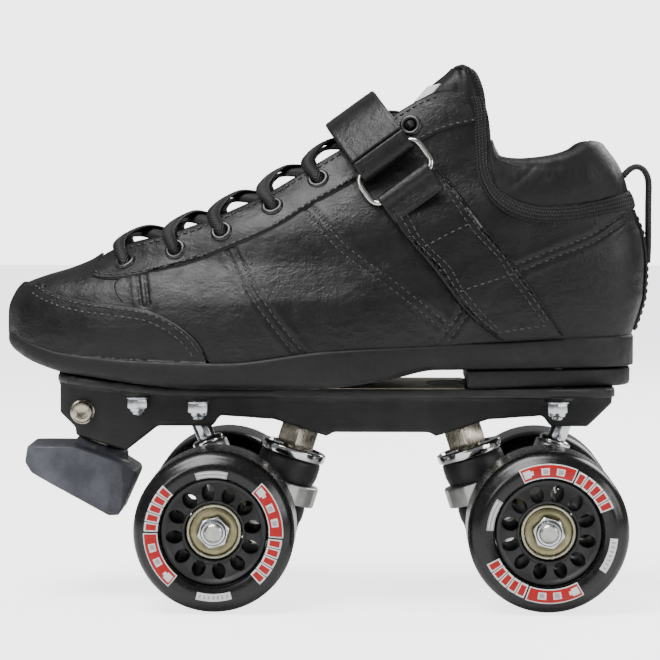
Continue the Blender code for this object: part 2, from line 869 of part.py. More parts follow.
def beam_outline():
    """The side view of the plate's spine, from the front housing under the boot to the rear end."""
    points = [(DECK_FRONT_X + 1, DECK_TOP + 1), (DECK_FRONT_X + 1, 74.2), (-102, 68.3)]
    down = Vector((-math.sin(STEM_TILT), 0, -math.cos(STEM_TILT)))
    over = Vector((math.cos(STEM_TILT), 0, -math.sin(STEM_TILT)))
    mouth = Vector((STEM_X, 0, STEM_Z))
    for reach in (-10.6, 10.6):
        corner = mouth + over * reach
        points.append((corner.x, corner.z))
    housing = axle_x(-1) - PIVOT_OUTBOARD
    points += [(housing - 14, PIVOT_HOUSING_Z), (housing + 8, PIVOT_HOUSING_Z), (housing + 11, TRUCK_ARCH_Z)]
    face = CUP_HEIGHT / 2 + 2 * FIT + KINGPIN_HEX_HEIGHT
    for end, order in ((-1, (-11, 11)), (1, (11, -11))):
        cup = Vector((axle_x(end) - end * CUP_INBOARD, 0, CUP_Z))
        up = Vector((-end * math.sin(KINGPIN_TILT), 0, math.cos(KINGPIN_TILT)))
        inboard = Vector((-end * math.cos(KINGPIN_TILT), 0, -math.sin(KINGPIN_TILT)))
        seat = [cup + up * face + inboard * reach for reach in order]
        corners = [(corner.x, corner.z) for corner in seat]
        if end < 0:
            points += [corners[0], corners[1], (corners[1][0] + 3, BEAM_BOTTOM)]
        else:
            points += [(corners[0][0] - 3, BEAM_BOTTOM), corners[0], corners[1]]
    housing = axle_x(1) + PIVOT_OUTBOARD
    points += [(housing - 11, TRUCK_ARCH_Z), (housing - 8, PIVOT_HOUSING_Z), (housing + 7, PIVOT_HOUSING_Z)]
    points += [(DECK_REAR_X - 0.6, 78.3), (DECK_REAR_X - 0.6, DECK_TOP - 1)]
    points += [(DECK_RISE_START_X, DECK_TOP - 1)]
    return points


def build_plate(mats):
    nylon = mats["nylon"]
    plate = stacked("plate", [deck_ring(DECK_THICKNESS), deck_ring(0)], nylon)
    spine = prism("plate_spine", beam_outline(), -BEAM_HALF_WIDTH, BEAM_HALF_WIDTH, nylon)
    join(plate, spine)
    for x in BOLT_XS:
        for side in (-1, 1):
            top = deck_top(x) - 1
            low = deck_top(x) - DECK_THICKNESS - BOLT_PAD_HEIGHT
            pad = turned(
                "plate_bolt_pad",
                ((0, low), (BOLT_PAD_RADIUS, low), (BOLT_PAD_RADIUS, top), (0, top)),
                nylon,
                frame((x, side * BOLT_HALF_SPACING, 0), (0, 0, 1)),
                8,
            )
            join(plate, pad)
            bolt_hole = turned(
                "plate_bolt_hole",
                ((0, 60), (BOLT_RADIUS + PRESS, 60), (BOLT_RADIUS + PRESS, 100), (0, 100)),
                nylon,
                frame((x, side * BOLT_HALF_SPACING, 0), (0, 0, 1)),
                8,
            )
            cut(plate, bolt_hole)
    for end in (-1, 1):
        deep = -CUP_HEIGHT / 2 - 2 * FIT - KINGPIN_HEX_HEIGHT - 9.4
        radius = KINGPIN_RADIUS + PRESS
        king_hole = turned(
            "plate_kingpin_hole",
            ((0, deep), (radius, deep), (radius, 10), (0, 10)),
            nylon,
            king_frame(end),
            12,
        )
        socket = PIVOT_TIP_RADIUS + 1.1
        cup_hole = turned(
            "plate_pivot_socket",
            ((0, -socket), (socket, -socket * 0.5), (socket, 6), (socket + 3, 14), (0, 14)),
            nylon,
            pivot_frame(end),
            12,
        )
        cut(plate, king_hole, cup_hole)
    stem_hole = turned(
        "plate_stem_hole",
        ((0, -STEM_LENGTH), (STEM_RADIUS + PRESS, -STEM_LENGTH), (STEM_RADIUS + PRESS, 20), (0, 20)),
        nylon,
        stem_frame(),
        16,
    )
    screw_hole = turned(
        "plate_clamp_hole",
        ((0, -9), (CLAMP_RADIUS + PRESS, -9), (CLAMP_RADIUS + PRESS, 9), (0, 9)),
        nylon,
        clamp_frame(),
        8,
    )
    cut(plate, stem_hole, screw_hole)


def clamp_frame():
    """Local Z points out of the outer side of the front housing."""
    return frame((CLAMP_SCREW_X, -BEAM_HALF_WIDTH, CLAMP_SCREW_Z), (0, -1, 0), (0, 0, 1))


def stem_frame():
    """Local Z runs down the toe stop's stem from the mouth of its housing."""
    return frame((STEM_X, 0, STEM_Z), (-math.sin(STEM_TILT), 0, -math.cos(STEM_TILT)))


def build_bolts(mats):
    """Each bolt and its nut are one solid: the head sits in the sole and the nut under the deck."""
    for x, spot in zip(BOLT_XS, ("toe", "ball", "heel")):
        for side, where in ((-1, "outer"), (1, "inner")):
            nut_top = deck_top(x) - DECK_THICKNESS - BOLT_PAD_HEIGHT - FIT
            head_low = spline(FEATHER, x) - BOLT_HEAD_HEIGHT - 1.2
            nut_low = nut_top - BOLT_NUT_HEIGHT
            turned(
                f"{spot}_{where}_mounting_bolt",
                (
                    (0, nut_low - 1.3),
                    (BOLT_RADIUS, nut_low - 1.3),
                    (BOLT_RADIUS, nut_low),
                    (("hex", BOLT_NUT_ACROSS), nut_low),
                    (("hex", BOLT_NUT_ACROSS), nut_top),
                    (BOLT_RADIUS, nut_top),
                    (BOLT_RADIUS, head_low),
                    (BOLT_HEAD_RADIUS, head_low),
                    (BOLT_HEAD_RADIUS, head_low + BOLT_HEAD_HEIGHT),
                    (0, head_low + BOLT_HEAD_HEIGHT),
                ),
                mats["zinc"],
                frame((x, side * BOLT_HALF_SPACING, 0), (0, 0, 1)),
                12,
            )


def build_toe_stop(mats):
    turned(
        "toe_stop_clamp_screw",
        (
            (0, -8.5),
            (CLAMP_RADIUS, -8.5),
            (CLAMP_RADIUS, FIT),
            (CLAMP_HEAD_RADIUS, FIT),
            (CLAMP_HEAD_RADIUS, CLAMP_HEAD_HEIGHT),
            (0, CLAMP_HEAD_HEIGHT),
        ),
        mats["zinc"],
        clamp_frame(),
        12,
    )
    turned(
        "toe_stop_stem",
        (
            (0, -STEM_LENGTH + 3),
            (STEM_RADIUS, -STEM_LENGTH + 3),
            (STEM_RADIUS, STEM_GRIP),
            (0, STEM_GRIP),
        ),
        mats["steel"],
        stem_frame(),
        16,
    )
    outline = (
        (-102.5, 60.6),
        (-121.2, 60.9),
        (-122.4, 54.1),
        (-119.6, 50.1),
        (-88.4, 33.0),
        (-84.3, 33.0),
        (-77.1, 48.8),
        (-77.6, 50.8),
        (-84.5, 54.6),
    )
    half = TOE_STOP_HALF_WIDTH
    stop = prism("toe_stop", outline, -half, half, mats["stop_rubber"])
    keep(stop, rounded_block("toe_stop_plan", (-125, -75), half, mats["stop_rubber"]))
    neck = turned(
        "toe_stop_neck",
        ((0, 1.2), (10.4, 1.2), (13.0, 9.0), (0, 9.0)),
        mats["stop_rubber"],
        stem_frame(),
        16,
    )
    join(stop, neck)
    hole = turned(
        "toe_stop_hole",
        ((0, -6), (STEM_RADIUS + PRESS, -6), (STEM_RADIUS + PRESS, STEM_GRIP + FIT), (0, STEM_GRIP + FIT)),
        mats["stop_rubber"],
        stem_frame(),
        16,
    )
    cut(stop, hole)


def rounded_block(name, ends, half, mat):
    """An upright block with rounded corners in plan, a little larger than the ends and half width."""
    sides = 20
    margin = 1.02
    ring = []
    middle = (ends[0] + ends[1]) / 2
    reach = (ends[1] - ends[0]) / 2
    for i in range(sides):
        angle = 2 * math.pi * (i + 0.5) / sides
        along = math.copysign(abs(math.cos(angle)) ** 0.5, math.cos(angle))
        over = math.copysign(abs(math.sin(angle)) ** 0.5, math.sin(angle))
        ring.append((middle - reach * along * margin, -half * over * margin))
    return stacked(name, [[(x, y, z) for x, y in ring] for z in (20.0, 80.0)], mat)


# ---------------------------------------------------------------------------------------------------------
# Sole
# ---------------------------------------------------------------------------------------------------------


def sole_outline(inset, height):
    """The sole's plan, moved in by inset, with each point's height given by a function of x."""
    front = spline(FRONT, SOLE_PLAN_Z)
    back = spline(BACK, SOLE_PLAN_Z)
    middle = (front + back) / 2
    ring = []
    for i in range(AROUND):
        turn = 2 * i / AROUND
        side = -1 if turn <= 1 else 1
        turn = turn if turn <= 1 else 2 - turn
        x, width = plan_point(SOLE_PLAN_Z, turn)
        if x < middle:
            x = middle + (x - middle) * (HALF_LENGTH + middle - inset) / (middle - front)
        else:
            x = middle + (x - middle) * (back + SOLE_REAR_FLANGE - inset - middle) / (back - middle)
        if 0 < turn < 1:
            width = max(width + SOLE_FLANGE - inset, 0.0)
        else:
            width = 0.0
        ring.append((x, side_bend(x) + side * width, height(x)))
    return ring


SOLE_BOTTOM = lengthwise(
    (
        (-130.5, 99.5),
        (-118, 94.0),
        (-106, 90.6),
        (-90, 87.4),
        (-70, 85.7),
        (-50, DECK_TOP + FIT),
        (-8, DECK_TOP + FIT),
        (22, 88.5),
        (44, HEEL_BLOCK_TOP + FIT),
        (124, HEEL_BLOCK_TOP + FIT),
    )
)


def sole_bottom(x):
    """The underside, which keeps a fit above the deck wherever the deck is under it."""
    return max(spline(SOLE_BOTTOM, x), deck_top(x) + FIT if x > DECK_FRONT_X - 12 else 0.0)


def build_sole(mats):
    def top(x):
        return spline(FEATHER, x)

    rings = [
        sole_outline(13.0, sole_bottom),
        sole_outline(1.5, lambda x: sole_bottom(x) + SOLE_EDGE_LIFT * 0.5),
        sole_outline(0.0, lambda x: sole_bottom(x) + SOLE_EDGE_LIFT),
        sole_outline(0.0, lambda x: top(x) - 1.0),
        sole_outline(1.0, top),
    ]
    sole = stacked("outsole", rings, mats["sole_rubber"])
    lift_front = HEEL_BLOCK_FRONT_X
    lift_low = DECK_TOP + FIT
    lift_rings = [
        sole_outline(1.0, lambda x: lift_low),
        sole_outline(0.0, lambda x: lift_low + 1.5),
        sole_outline(0.0, lambda x: HEEL_BLOCK_TOP),
    ]
    lift = stacked("heel_lift", lift_rings, mats["sole_rubber"])
    heel_half = (
        (lift_front, 70.0),
        (HEEL_BLOCK_REAR_X, 70.0),
        (HEEL_BLOCK_REAR_X, 110.0),
        (lift_front, 110.0),
    )
    keep(lift, prism("heel_lift_block", heel_half, -60, 60, mats["sole_rubber"]))
    for x in BOLT_XS:
        for side in (-1, 1):
            head_low = top(x) - BOLT_HEAD_HEIGHT - 1.2 - FIT
            hole = BOLT_RADIUS + PRESS
            pocket = BOLT_HEAD_RADIUS + PRESS
            shaft = turned(
                "sole_bolt_hole",
                ((0, 70), (hole, 70), (hole, head_low), (pocket, head_low), (pocket, 120), (0, 120)),
                mats["sole_rubber"],
                frame((x, side * BOLT_HALF_SPACING, 0), (0, 0, 1)),
                8,
            )
            cut(sole, shaft)
            if x > lift_front:
                cut(lift, shaft)
    inner = SHELL + SOLE_FLANGE + 2.0
    turned_up = 3 * FIT
    insole_rings = [
        sole_outline(inner, lambda x: top(x) + turned_up),
        sole_outline(inner, lambda x: top(x) + turned_up + INSOLE_THICKNESS),
    ]
    stacked("insole", insole_rings, mats["lining"])


# ---------------------------------------------------------------------------------------------------------
# Upper
# ---------------------------------------------------------------------------------------------------------

PAST_END = HALF_LENGTH + 10.0  # clear of the boot at both ends
# The eyestay's front edge, where the throat opens, from the toe end up to the top corner.
THROAT_CORNER = lengthwise(((44.0, 203.5), (52.0, 203.0), (58.0, 192.0)))
THROAT = lengthwise(
    (
        (-91.0, 135.0), (-80.0, 141.5), (-60.0, 146.0), (-41.0, 153.5), (-21.5, 163.5), (-2.5, 175.0),
        (16.5, 187.0), (36.0, 199.5),
    )
)
EYELETS = lengthwise(
    (
        (-80.8, 134.7), (-60.3, 139.8), (-41.8, 147.0), (-21.8, 156.9), (-3.6, 167.7), (14.7, 178.5),
        (32.4, 189.0),
    )
)
# The tongue in side view.
TONGUE = lengthwise(
    (
        (-74.0, 128.0), (-74.0, 150.0), (-40.0, 168.0), (0.0, 190.0), (30.0, 210.0), (44.0, 221.0),
        (50.0, 217.0), (54.5, 213.0), (58.5, 204.8), (61.0, 195.0), (61.0, 184.0), (40.0, 176.0),
        (20.0, 164.0), (-10.0, 150.0), (-50.0, 134.0), (-70.0, 128.0),
    )
)
# The line where the padded collar meets the quarters, from the throat round to the heel, and its top edge.
COLLAR_LINE = lengthwise(
    (
        (62.5, 179.1), (63.5, 169.5), (70.0, 162.4), (80.9, 158.2), (92.6, 158.2), (105.4, 159.8),
        (124.0, 164.0),
    )
)
COLLAR_TOP = lengthwise(
    (
        (66.0, 180.5), (70.0, 178.0), (79.8, 176.8), (90.9, 177.6), (102.9, 181.0), (112.0, 184.0),
        (124.0, 184.0),
    )
)
# The toe cap's rear edge, from the vamp down to the sole.
TOE_SEAM = lengthwise(
    (
        (-92.5, 146.0), (-92.5, 131.0), (-88.0, 128.6), (-73.7, 128.8), (-71.5, 119.0), (-60.4, 112.5),
        (-52.9, 106.7), (-45.0, 95.0), (-44.0, 88.0),
    )
)


def build_upper(mats):
    leather = mats["leather"]
    gap = FIT / 2
    toe = boot_sheet("toe_cap", 0.0, SHELL, leather)
    toe_region = [(x - gap, z - gap) for x, z in TOE_SEAM] + [(-PAST_END, 88), (-PAST_END, 146)]
    keep(toe, prism("toe_cap_region", toe_region, -60, 60, leather))
    quarter_region = (
        [(x + gap, z + gap) for x, z in reversed(TOE_SEAM[1:])]
        + list(THROAT)
        + list(THROAT_CORNER)
        + list(COLLAR_LINE)
        + [(PAST_END, 166.0), (PAST_END, 88.0)]
    )
    for side, name in ((-1, "outer_quarter"), (1, "inner_quarter")):
        quarter = boot_sheet(name, 0.0, SHELL, leather)
        near, far = sorted((side * gap, side * 62.0))
        keep(quarter, prism(f"{name}_region", quarter_region, near, far, leather))
        for x, z in EYELETS:
            centre = skin(x, z, side)
            normal = skin_normal(x, z, side)
            hole = turned(
                f"{name}_eyelet",
                ((0, -8), (EYELET_HOLE_RADIUS, -8), (EYELET_HOLE_RADIUS, 8), (0, 8)),
                leather,
                frame(centre, normal, (1, 0, 0)),
                6,
            )
            cut(quarter, hole)
    collar = boot_sheet("collar", 0.2, COLLAR_THICKNESS, mats["padding"])
    collar_region = [(x + 0.6, z + 0.4) for x, z in COLLAR_LINE]
    collar_region += [(PAST_END, 166), (PAST_END, 184)] + list(reversed(COLLAR_TOP))
    keep(collar, prism("collar_region", collar_region, -60, 60, mats["padding"]))
    tongue = boot_sheet("tongue", TONGUE_DEPTH, TONGUE_THICKNESS, mats["padding"])
    keep(tongue, prism("tongue_region", TONGUE, -27, 27, mats["padding"]))


def build_lace(mats):
    """One lace criss-crosses the throat: it rises out of each eyelet and dives under the opposite eyestay."""
    over = LACE_RADIUS + 0.6
    under = SHELL + LACE_RADIUS + 1.0
    last = len(EYELETS) - 1

    def at(index, side, rise, toward_throat=0.0):
        """A point over or under the upper, at an eyelet or some way from it toward the throat."""
        ahead = Vector(EYELETS[min(index + 1, last)])
        behind = Vector(EYELETS[max(index - 1, 0)])
        along = (ahead - behind).normalized()
        x = EYELETS[index][0] - along.y * toward_throat
        z = EYELETS[index][1] + along.x * toward_throat
        return skin(x, z, side) + skin_normal(x, z, side) * rise

    def crossing(index, rise):
        edges = [at(k, side, 0, LACE_TO_THROAT) for k in (index, index + 1) for side in (-1, 1)]
        middle = sum(edges, Vector()) / 4
        return middle + Vector((-0.5, 0, 0.85)) * (rise + LACE_SAG * (STRETCH - 1.0))

    def half(first_side):
        points = []
        side = first_side
        for index in range(last):
            on_top = (side == first_side) == (first_side < 0)
            points.append(at(index, side, -under))
            points.append(at(index, side, over))
            points.append(at(index, side, over, LACE_TO_THROAT))
            points.append(crossing(index, 3.6 if on_top else 0.0))
            points.append(at(index + 1, -side, -under, LACE_TO_THROAT))
            side = -side
        points.append(at(last, side, -under))
        points.append(at(last, side, over))
        return points

    left = half(-1)
    right = half(1)
    bar = (left[0] + right[0]) / 2
    tube("lace", list(reversed(left)) + [bar] + right, LACE_RADIUS, mats["webbing"])


def strap_plane(across_line, offset):
    """The point of the strap's slanted plane at offsets across the boot and along the plane's rise."""
    return STRAP_MIDDLE + Vector((0, across_line, 0)) + STRAP_RISE * offset


def strap_route(corners, steps=4):
    """(point, normal) pairs along a smooth line through (y, rise) corners in the strap's plane."""
    line = []
    count = len(corners)
    for i in range(count - 1):
        before = corners[max(i - 1, 0)]
        start = corners[i]
        end = corners[i + 1]
        after = corners[min(i + 2, count - 1)]
        for k in range(steps):
            t = k / steps
            line.append(
                tuple(
                    0.5
                    * (
                        2 * s
                        + (e - b) * t
                        + (2 * b - 5 * s + 4 * e - a) * t * t
                        + (3 * s - b - 3 * e + a) * t**3
                    )
                    for b, s, e, a in zip(before, start, end, after)
                )
            )
    line.append(corners[-1])
    route = []
    for i, (y, rise) in enumerate(line):
        ahead = line[min(i + 1, len(line) - 1)]
        behind = line[max(i - 1, 0)]
        normal = STRAP_RISE * (ahead[0] - behind[0]) - Vector((0, ahead[1] - behind[1], 0))
        route.append((strap_plane(y, rise), normal))
    return route


def clear_of_skin(rise, gap):
    """How far out a straight line across the strap's width stands, to clear the boot by gap at this rise."""
    reach = 0.0
    for along in (-14.0, -7.0, 0.0, 7.0, 14.0):
        point = strap_plane(0, rise) + STRAP_ALONG * along
        reach = max(reach, half_width(point.x, point.z))
    return reach + gap + STRAP_EASE * (STRETCH - 1.0)


def build_strap(mats):
    webbing = mats["webbing"]
    lift = STRAP_THICKNESS / 2 + 0.8
    lace_lift = lift + 2 * LACE_RADIUS + 2.4
    wrap = STRAP_RING_WIRE + FIT + STRAP_THICKNESS / 2 + 0.7
    turn = wrap * 0.7
    top_bar = max(
        clear_of_skin(STRAP_RING_TOP, lift + wrap + 1.0),
        clear_of_skin(STRAP_RING_TOP - turn, turn + STRAP_THICKNESS / 2 + FIT / 2),
    )
    low_bar = clear_of_skin(STRAP_RING_LOW, STRAP_RING_WIRE + 1.4)
    inner_side = [(clear_of_skin(rise, lift), rise) for rise in (-72.0, -56.0, -42.0, -32.0)]
    inner_side += [(clear_of_skin(rise, lace_lift), rise) for rise in (-24.0, -16.5)]
    crest = [(16.5, -4.2), (0.0, -1.0), (-18.5, -4.5), (-clear_of_skin(-16.5, lace_lift), -16.5)]
    fold = [
        (-top_bar + wrap, STRAP_RING_TOP),
        (-top_bar + turn, STRAP_RING_TOP - turn),
        (-top_bar, STRAP_RING_TOP - wrap),
        (-top_bar - turn, STRAP_RING_TOP - turn),
        (-top_bar - wrap, STRAP_RING_TOP),
        (-top_bar - wrap + 0.6, STRAP_RING_TOP + 5.0),
    ]
    route = strap_route(inner_side + crest, 3) + strap_route(fold, 1)
    ribbon("strap", route, STRAP_ALONG, STRAP_WIDTH, STRAP_THICKNESS, webbing)
    over = STRAP_THICKNESS + 0.7
    start = (-top_bar - wrap + 0.7, STRAP_RING_TOP + 5.6)
    tab = [(18.0, -2.4), (11.0, 0.7), (0.0, -1.0 + over), (-19.4, -4.5 + over), start]
    ribbon("strap_tab", strap_route(tab, 3), STRAP_ALONG, STRAP_WIDTH, STRAP_THICKNESS, webbing)
    half = STRAP_WIDTH / 2 + 2.4
    corners = []
    for y, rise, order in ((-top_bar, STRAP_RING_TOP, 1), (-low_bar, STRAP_RING_LOW, -1)):
        for side in (-order, order):
            corners.append(strap_plane(y, rise) + STRAP_ALONG * half * side)
    route = []
    for i, corner in enumerate(corners):
        before = corners[i - 1]
        after = corners[(i + 1) % 4]
        route.append(corner + (before - corner).normalized() * 3)
        route.append(corner + (after - corner).normalized() * 3)
    wire_loop("strap_ring", route, STRAP_RING_WIRE, mats["nickel"])


def wire_loop(name, route, radius, mat):
    """A closed ring of round wire."""
    middle = sum(route, Vector()) / len(route)
    normal = (route[1] - route[0]).cross(route[3] - route[1]).normalized()
    rings = []
    for i, point in enumerate(route):
        ahead = route[(i + 1) % len(route)]
        behind = route[i - 1]
        along = (ahead - behind).normalized()
        out = along.cross(normal).normalized()
        if out.dot(point - middle) < 0:
            out = -out
        rings.append(
            [
                point + (out * math.cos(a) + normal * math.sin(a)) * radius
                for a in (2 * math.pi * k / 8 for k in range(8))
            ]
        )
    return stacked(name, rings, mat, closed=True)


# The strap's anchor in side view, sewn to the outer quarter.
ANCHOR = lengthwise(
    (
        (24.5, 157.0), (28.4, 148.3), (40.9, 133.3), (54.2, 115.9), (67.6, 104.8), (93.5, 106.4),
        (84.9, 119.2), (74.1, 134.1), (60.8, 150.8), (52.5, 161.6), (44.6, 171.5),
    )
)


def build_anchor(mats):
    levels = [(height, follow) for height, follow in LEVELS if height > 107]
    depth = -ANCHOR_THICKNESS - 0.4
    anchor = boot_sheet("strap_anchor", depth, ANCHOR_THICKNESS, mats["leather"], levels[:-3])
    keep(anchor, prism("strap_anchor_region", ANCHOR, -62, -8, mats["leather"]))


def build_heel_loop(mats):
    outer = HALF_LENGTH - LOOP_THICKNESS / 2
    route = (
        (121.6 * STRETCH, 171.8),
        (124.6 * STRETCH, 173.0),
        (outer - 1.8, 171.4),
        (outer, 167.0),
        (outer, 158.0),
        (outer - 0.4, 149.0),
        (outer, 141.0),
        (outer, 132.6),
    )
    pairs = []
    for i, (x, z) in enumerate(route):
        ahead = route[min(i + 1, len(route) - 1)]
        behind = route[max(i - 1, 0)]
        pairs.append(((x, 0, z), (-(ahead[1] - behind[1]), 0, ahead[0] - behind[0])))
    ribbon("heel_loop", pairs, (0, 1, 0), LOOP_WIDTH, LOOP_THICKNESS, mats["webbing"])


def main():
    clear_scene()
    mats = {
        "urethane": material("urethane", (0.012, 0.012, 0.012), 0.18),
        "hub": material("hub", (0.02, 0.02, 0.021), 0.42),
        "bearing": material("bearing", (0.30, 0.28, 0.19), 0.35, 0.8),
        "zinc": material("zinc", (0.62, 0.65, 0.68), 0.24, 1.0),
        "steel": material("steel", (0.45, 0.42, 0.36), 0.3, 1.0),
        "chrome": material("chrome", (0.75, 0.75, 0.74), 0.1, 1.0),
        "truck_metal": material("truck_metal", (0.62, 0.62, 0.6), 0.38, 1.0),
        "cushion": material("cushion", (0.02, 0.02, 0.02), 0.5),
        "nylon": material("nylon", (0.018, 0.018, 0.019), 0.45),
        "stop_rubber": material("stop_rubber", (0.11, 0.115, 0.14), 0.5),
        "sole_rubber": material("sole_rubber", (0.02, 0.02, 0.021), 0.6),
        "lining": material("lining", (0.03, 0.03, 0.03), 0.9),
        "leather": material("leather", (0.012, 0.012, 0.012), 0.4),
        "padding": material("padding", (0.014, 0.014, 0.014), 0.55),
        "webbing": material("webbing", (0.012, 0.012, 0.013), 0.85),
        "nickel": material("nickel", (0.72, 0.7, 0.66), 0.18, 1.0),
    }
    build_wheels(mats)
    build_trucks(mats)
    build_plate(mats)
    build_bolts(mats)
    build_toe_stop(mats)
    build_sole(mats)
    build_upper(mats)
    build_anchor(mats)
    build_lace(mats)
    build_strap(mats)
    build_heel_loop(mats)


main()
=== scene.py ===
"""The looks of a black quad roller skate: printed wheels, sprung trucks, a nylon plate and a laced boot.

Lengths are in millimetres, and MM turns them into metres. The toe points to -X, the outer side of the foot to
-Y and up is +Z. Each section makes one piece, or one group of like pieces, in the order the skate is built.
"""

import json
import math

import bpy
import numpy as np
from mathutils import Matrix, Vector, noise

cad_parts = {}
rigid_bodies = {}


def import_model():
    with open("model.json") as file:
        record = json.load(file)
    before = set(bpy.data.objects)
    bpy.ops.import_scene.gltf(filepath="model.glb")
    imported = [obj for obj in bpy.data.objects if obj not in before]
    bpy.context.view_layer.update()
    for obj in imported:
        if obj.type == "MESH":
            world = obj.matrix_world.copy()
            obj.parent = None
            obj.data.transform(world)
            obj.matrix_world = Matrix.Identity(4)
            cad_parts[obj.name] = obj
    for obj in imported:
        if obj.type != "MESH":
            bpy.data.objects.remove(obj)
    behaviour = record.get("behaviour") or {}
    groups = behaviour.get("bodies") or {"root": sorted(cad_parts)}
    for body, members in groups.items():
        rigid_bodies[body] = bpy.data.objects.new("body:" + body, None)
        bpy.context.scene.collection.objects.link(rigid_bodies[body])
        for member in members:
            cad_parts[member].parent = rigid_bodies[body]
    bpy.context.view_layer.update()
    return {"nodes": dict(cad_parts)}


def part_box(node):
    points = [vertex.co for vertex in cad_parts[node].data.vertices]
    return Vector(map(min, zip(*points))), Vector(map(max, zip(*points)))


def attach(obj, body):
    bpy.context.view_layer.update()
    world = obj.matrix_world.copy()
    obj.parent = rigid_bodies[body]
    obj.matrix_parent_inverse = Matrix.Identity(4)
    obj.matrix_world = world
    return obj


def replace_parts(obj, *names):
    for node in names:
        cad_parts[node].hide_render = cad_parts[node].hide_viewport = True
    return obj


for leftover in list(bpy.data.objects):
    bpy.data.objects.remove(leftover, do_unlink=True)
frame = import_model()
MM = 0.001

# ---------------------------------------------------------------------------------------------------------
# Camera, floor and light. A long lens looks level at the outer side from a little above the ankle, on a pale
# seamless floor under broad soft lamps.
# ---------------------------------------------------------------------------------------------------------

CAMERA_PLACE = Vector((23.1, -1300.0, 176.5)) * MM
CAMERA_AIM = Vector((0.4, 0.0, 106.7)) * MM
LENS = 174.7
ROOM_LIGHT = 0.2
ROOM_WHITE = 4.0
FLOOR_GLOW = 2.6

lens = bpy.data.cameras.new("camera")
lens.lens = LENS
lens.clip_start = 0.05
camera = bpy.data.objects.new("camera", lens)
camera.location = CAMERA_PLACE
camera.rotation_euler = (CAMERA_AIM - CAMERA_PLACE).to_track_quat("-Z", "Y").to_euler()
bpy.context.scene.collection.objects.link(camera)
bpy.context.scene.camera = camera


def soft_lamp(name, place, aim, size, watts):
    """A square softbox at place, facing aim, both in metres."""
    data = bpy.data.lights.new(name, "AREA")
    data.shape = "SQUARE"
    data.size = size
    data.energy = watts
    lamp = bpy.data.objects.new(name, data)
    lamp.location = place
    lamp.rotation_euler = (Vector(aim) - Vector(place)).to_track_quat("-Z", "Y").to_euler()
    bpy.context.scene.collection.objects.link(lamp)


soft_lamp("top_softbox", (-0.35, -0.3, 1.25), (0, 0, 0.1), 0.8, 21)
soft_lamp("front_softbox", (-0.9, -1.2, 0.95), (0, 0, 0.12), 0.7, 8)
soft_lamp("back_softbox", (0.7, 0.9, 0.8), (0, 0, 0.15), 0.8, 12)
soft_lamp("heel_softbox", (1.2, -0.6, 0.5), (0, 0, 0.12), 0.6, 5)

world = bpy.data.worlds.new("studio")
world.use_nodes = True
world.node_tree.nodes["Background"].inputs["Color"].default_value = (1, 1, 1, 1)
bpy.context.scene.world = world


def node(material, kind, settings=None, **inputs):
    """Adds a shader node. An input given as a socket is linked, and any other is set as its constant.

    A key names the input, with _ for each space, or is _ and its number where inputs share a name.
    """
    made = material.node_tree.nodes.new(kind)
    for key, value in (settings or {}).items():
        setattr(made, key, value)
    for key, value in inputs.items():
        socket = made.inputs[int(key[1:]) if key[1:].isdigit() else key.replace("_", " ")]
        if isinstance(value, bpy.types.NodeSocket):
            material.node_tree.links.new(value, socket)
        else:
            socket.default_value = value
    return made


def finish_of(name, roughness, metallic=0.0, **sockets):
    """A new material, with its Principled shader's constants set on the shader's own sockets."""
    made = bpy.data.materials.new(name)
    made.use_nodes = True
    shader = made.node_tree.nodes["Principled BSDF"]
    shader.inputs["Metallic"].default_value = metallic
    shader.inputs["Roughness"].default_value = roughness
    for key, value in sockets.items():
        shader.inputs[key.replace("_", " ")].default_value = value
    return made


def shader_link(material, key, output):
    material.node_tree.links.new(output, material.node_tree.nodes["Principled BSDF"].inputs[key])


def place_on(material, source="Object", scale=(1, 1, 1)):
    """The surface's own coordinates in millimetres: Object coordinates, or a UV map that is already so."""
    coordinates = node(material, "ShaderNodeTexCoord")
    size = 1.0 if source == "UV" else 1.0 / MM
    return node(
        material,
        "ShaderNodeMapping",
        Vector=coordinates.outputs[source],
        Scale=tuple(size * share for share in scale),
    ).outputs["Vector"]


def blotches(material, where, scale, detail=3.0, roughness=0.55):
    """Noise whose patches are about 1 / scale millimetres across."""
    made = node(material, "ShaderNodeTexNoise", Vector=where, Scale=scale, Detail=detail, Roughness=roughness)
    return made.outputs["Fac"]


def between(material, share, low, high, start=0.3, end=0.7):
    """A number that goes from low to high as share goes from start to end."""
    made = node(
        material,
        "ShaderNodeMapRange",
        Value=share,
        From_Min=start,
        From_Max=end,
        To_Min=low,
        To_Max=high,
    )
    return made.outputs["Result"]


def tint(material, share, dark, light, start=0.3, end=0.7):
    """A colour that goes from dark to light as share goes from start to end."""
    ramp = node(material, "ShaderNodeValToRGB", Fac=share)
    ramp.color_ramp.elements[0].position = start
    ramp.color_ramp.elements[0].color = (*dark, 1)
    ramp.color_ramp.elements[1].position = end
    ramp.color_ramp.elements[1].color = (*light, 1)
    return ramp.outputs["Color"]


def relief(material, height, depth, strength=1.0, below=None):
    """Bump of a depth in millimetres. below is an earlier bump that it sits on."""
    made = node(material, "ShaderNodeBump", Height=height, Strength=strength, Distance=depth * MM)
    if below is not None:
        material.node_tree.links.new(below, made.inputs["Normal"])
    shader_link(material, "Normal", made.outputs["Normal"])
    return made.outputs["Normal"]


def mottled(name, dark, light, rough, patch, grain, depth, **sockets):
    """A finish whose colour and roughness drift in patches, over a fine grain. rough is (low, high)."""
    made = finish_of(name, rough[0], **sockets)
    where = place_on(made)
    drift = blotches(made, where, patch)
    shader_link(made, "Base Color", tint(made, drift, dark, light))
    shader_link(made, "Roughness", between(made, blotches(made, where, patch * 4), *rough))
    relief(made, blotches(made, where, grain, 2.0), depth)
    return made


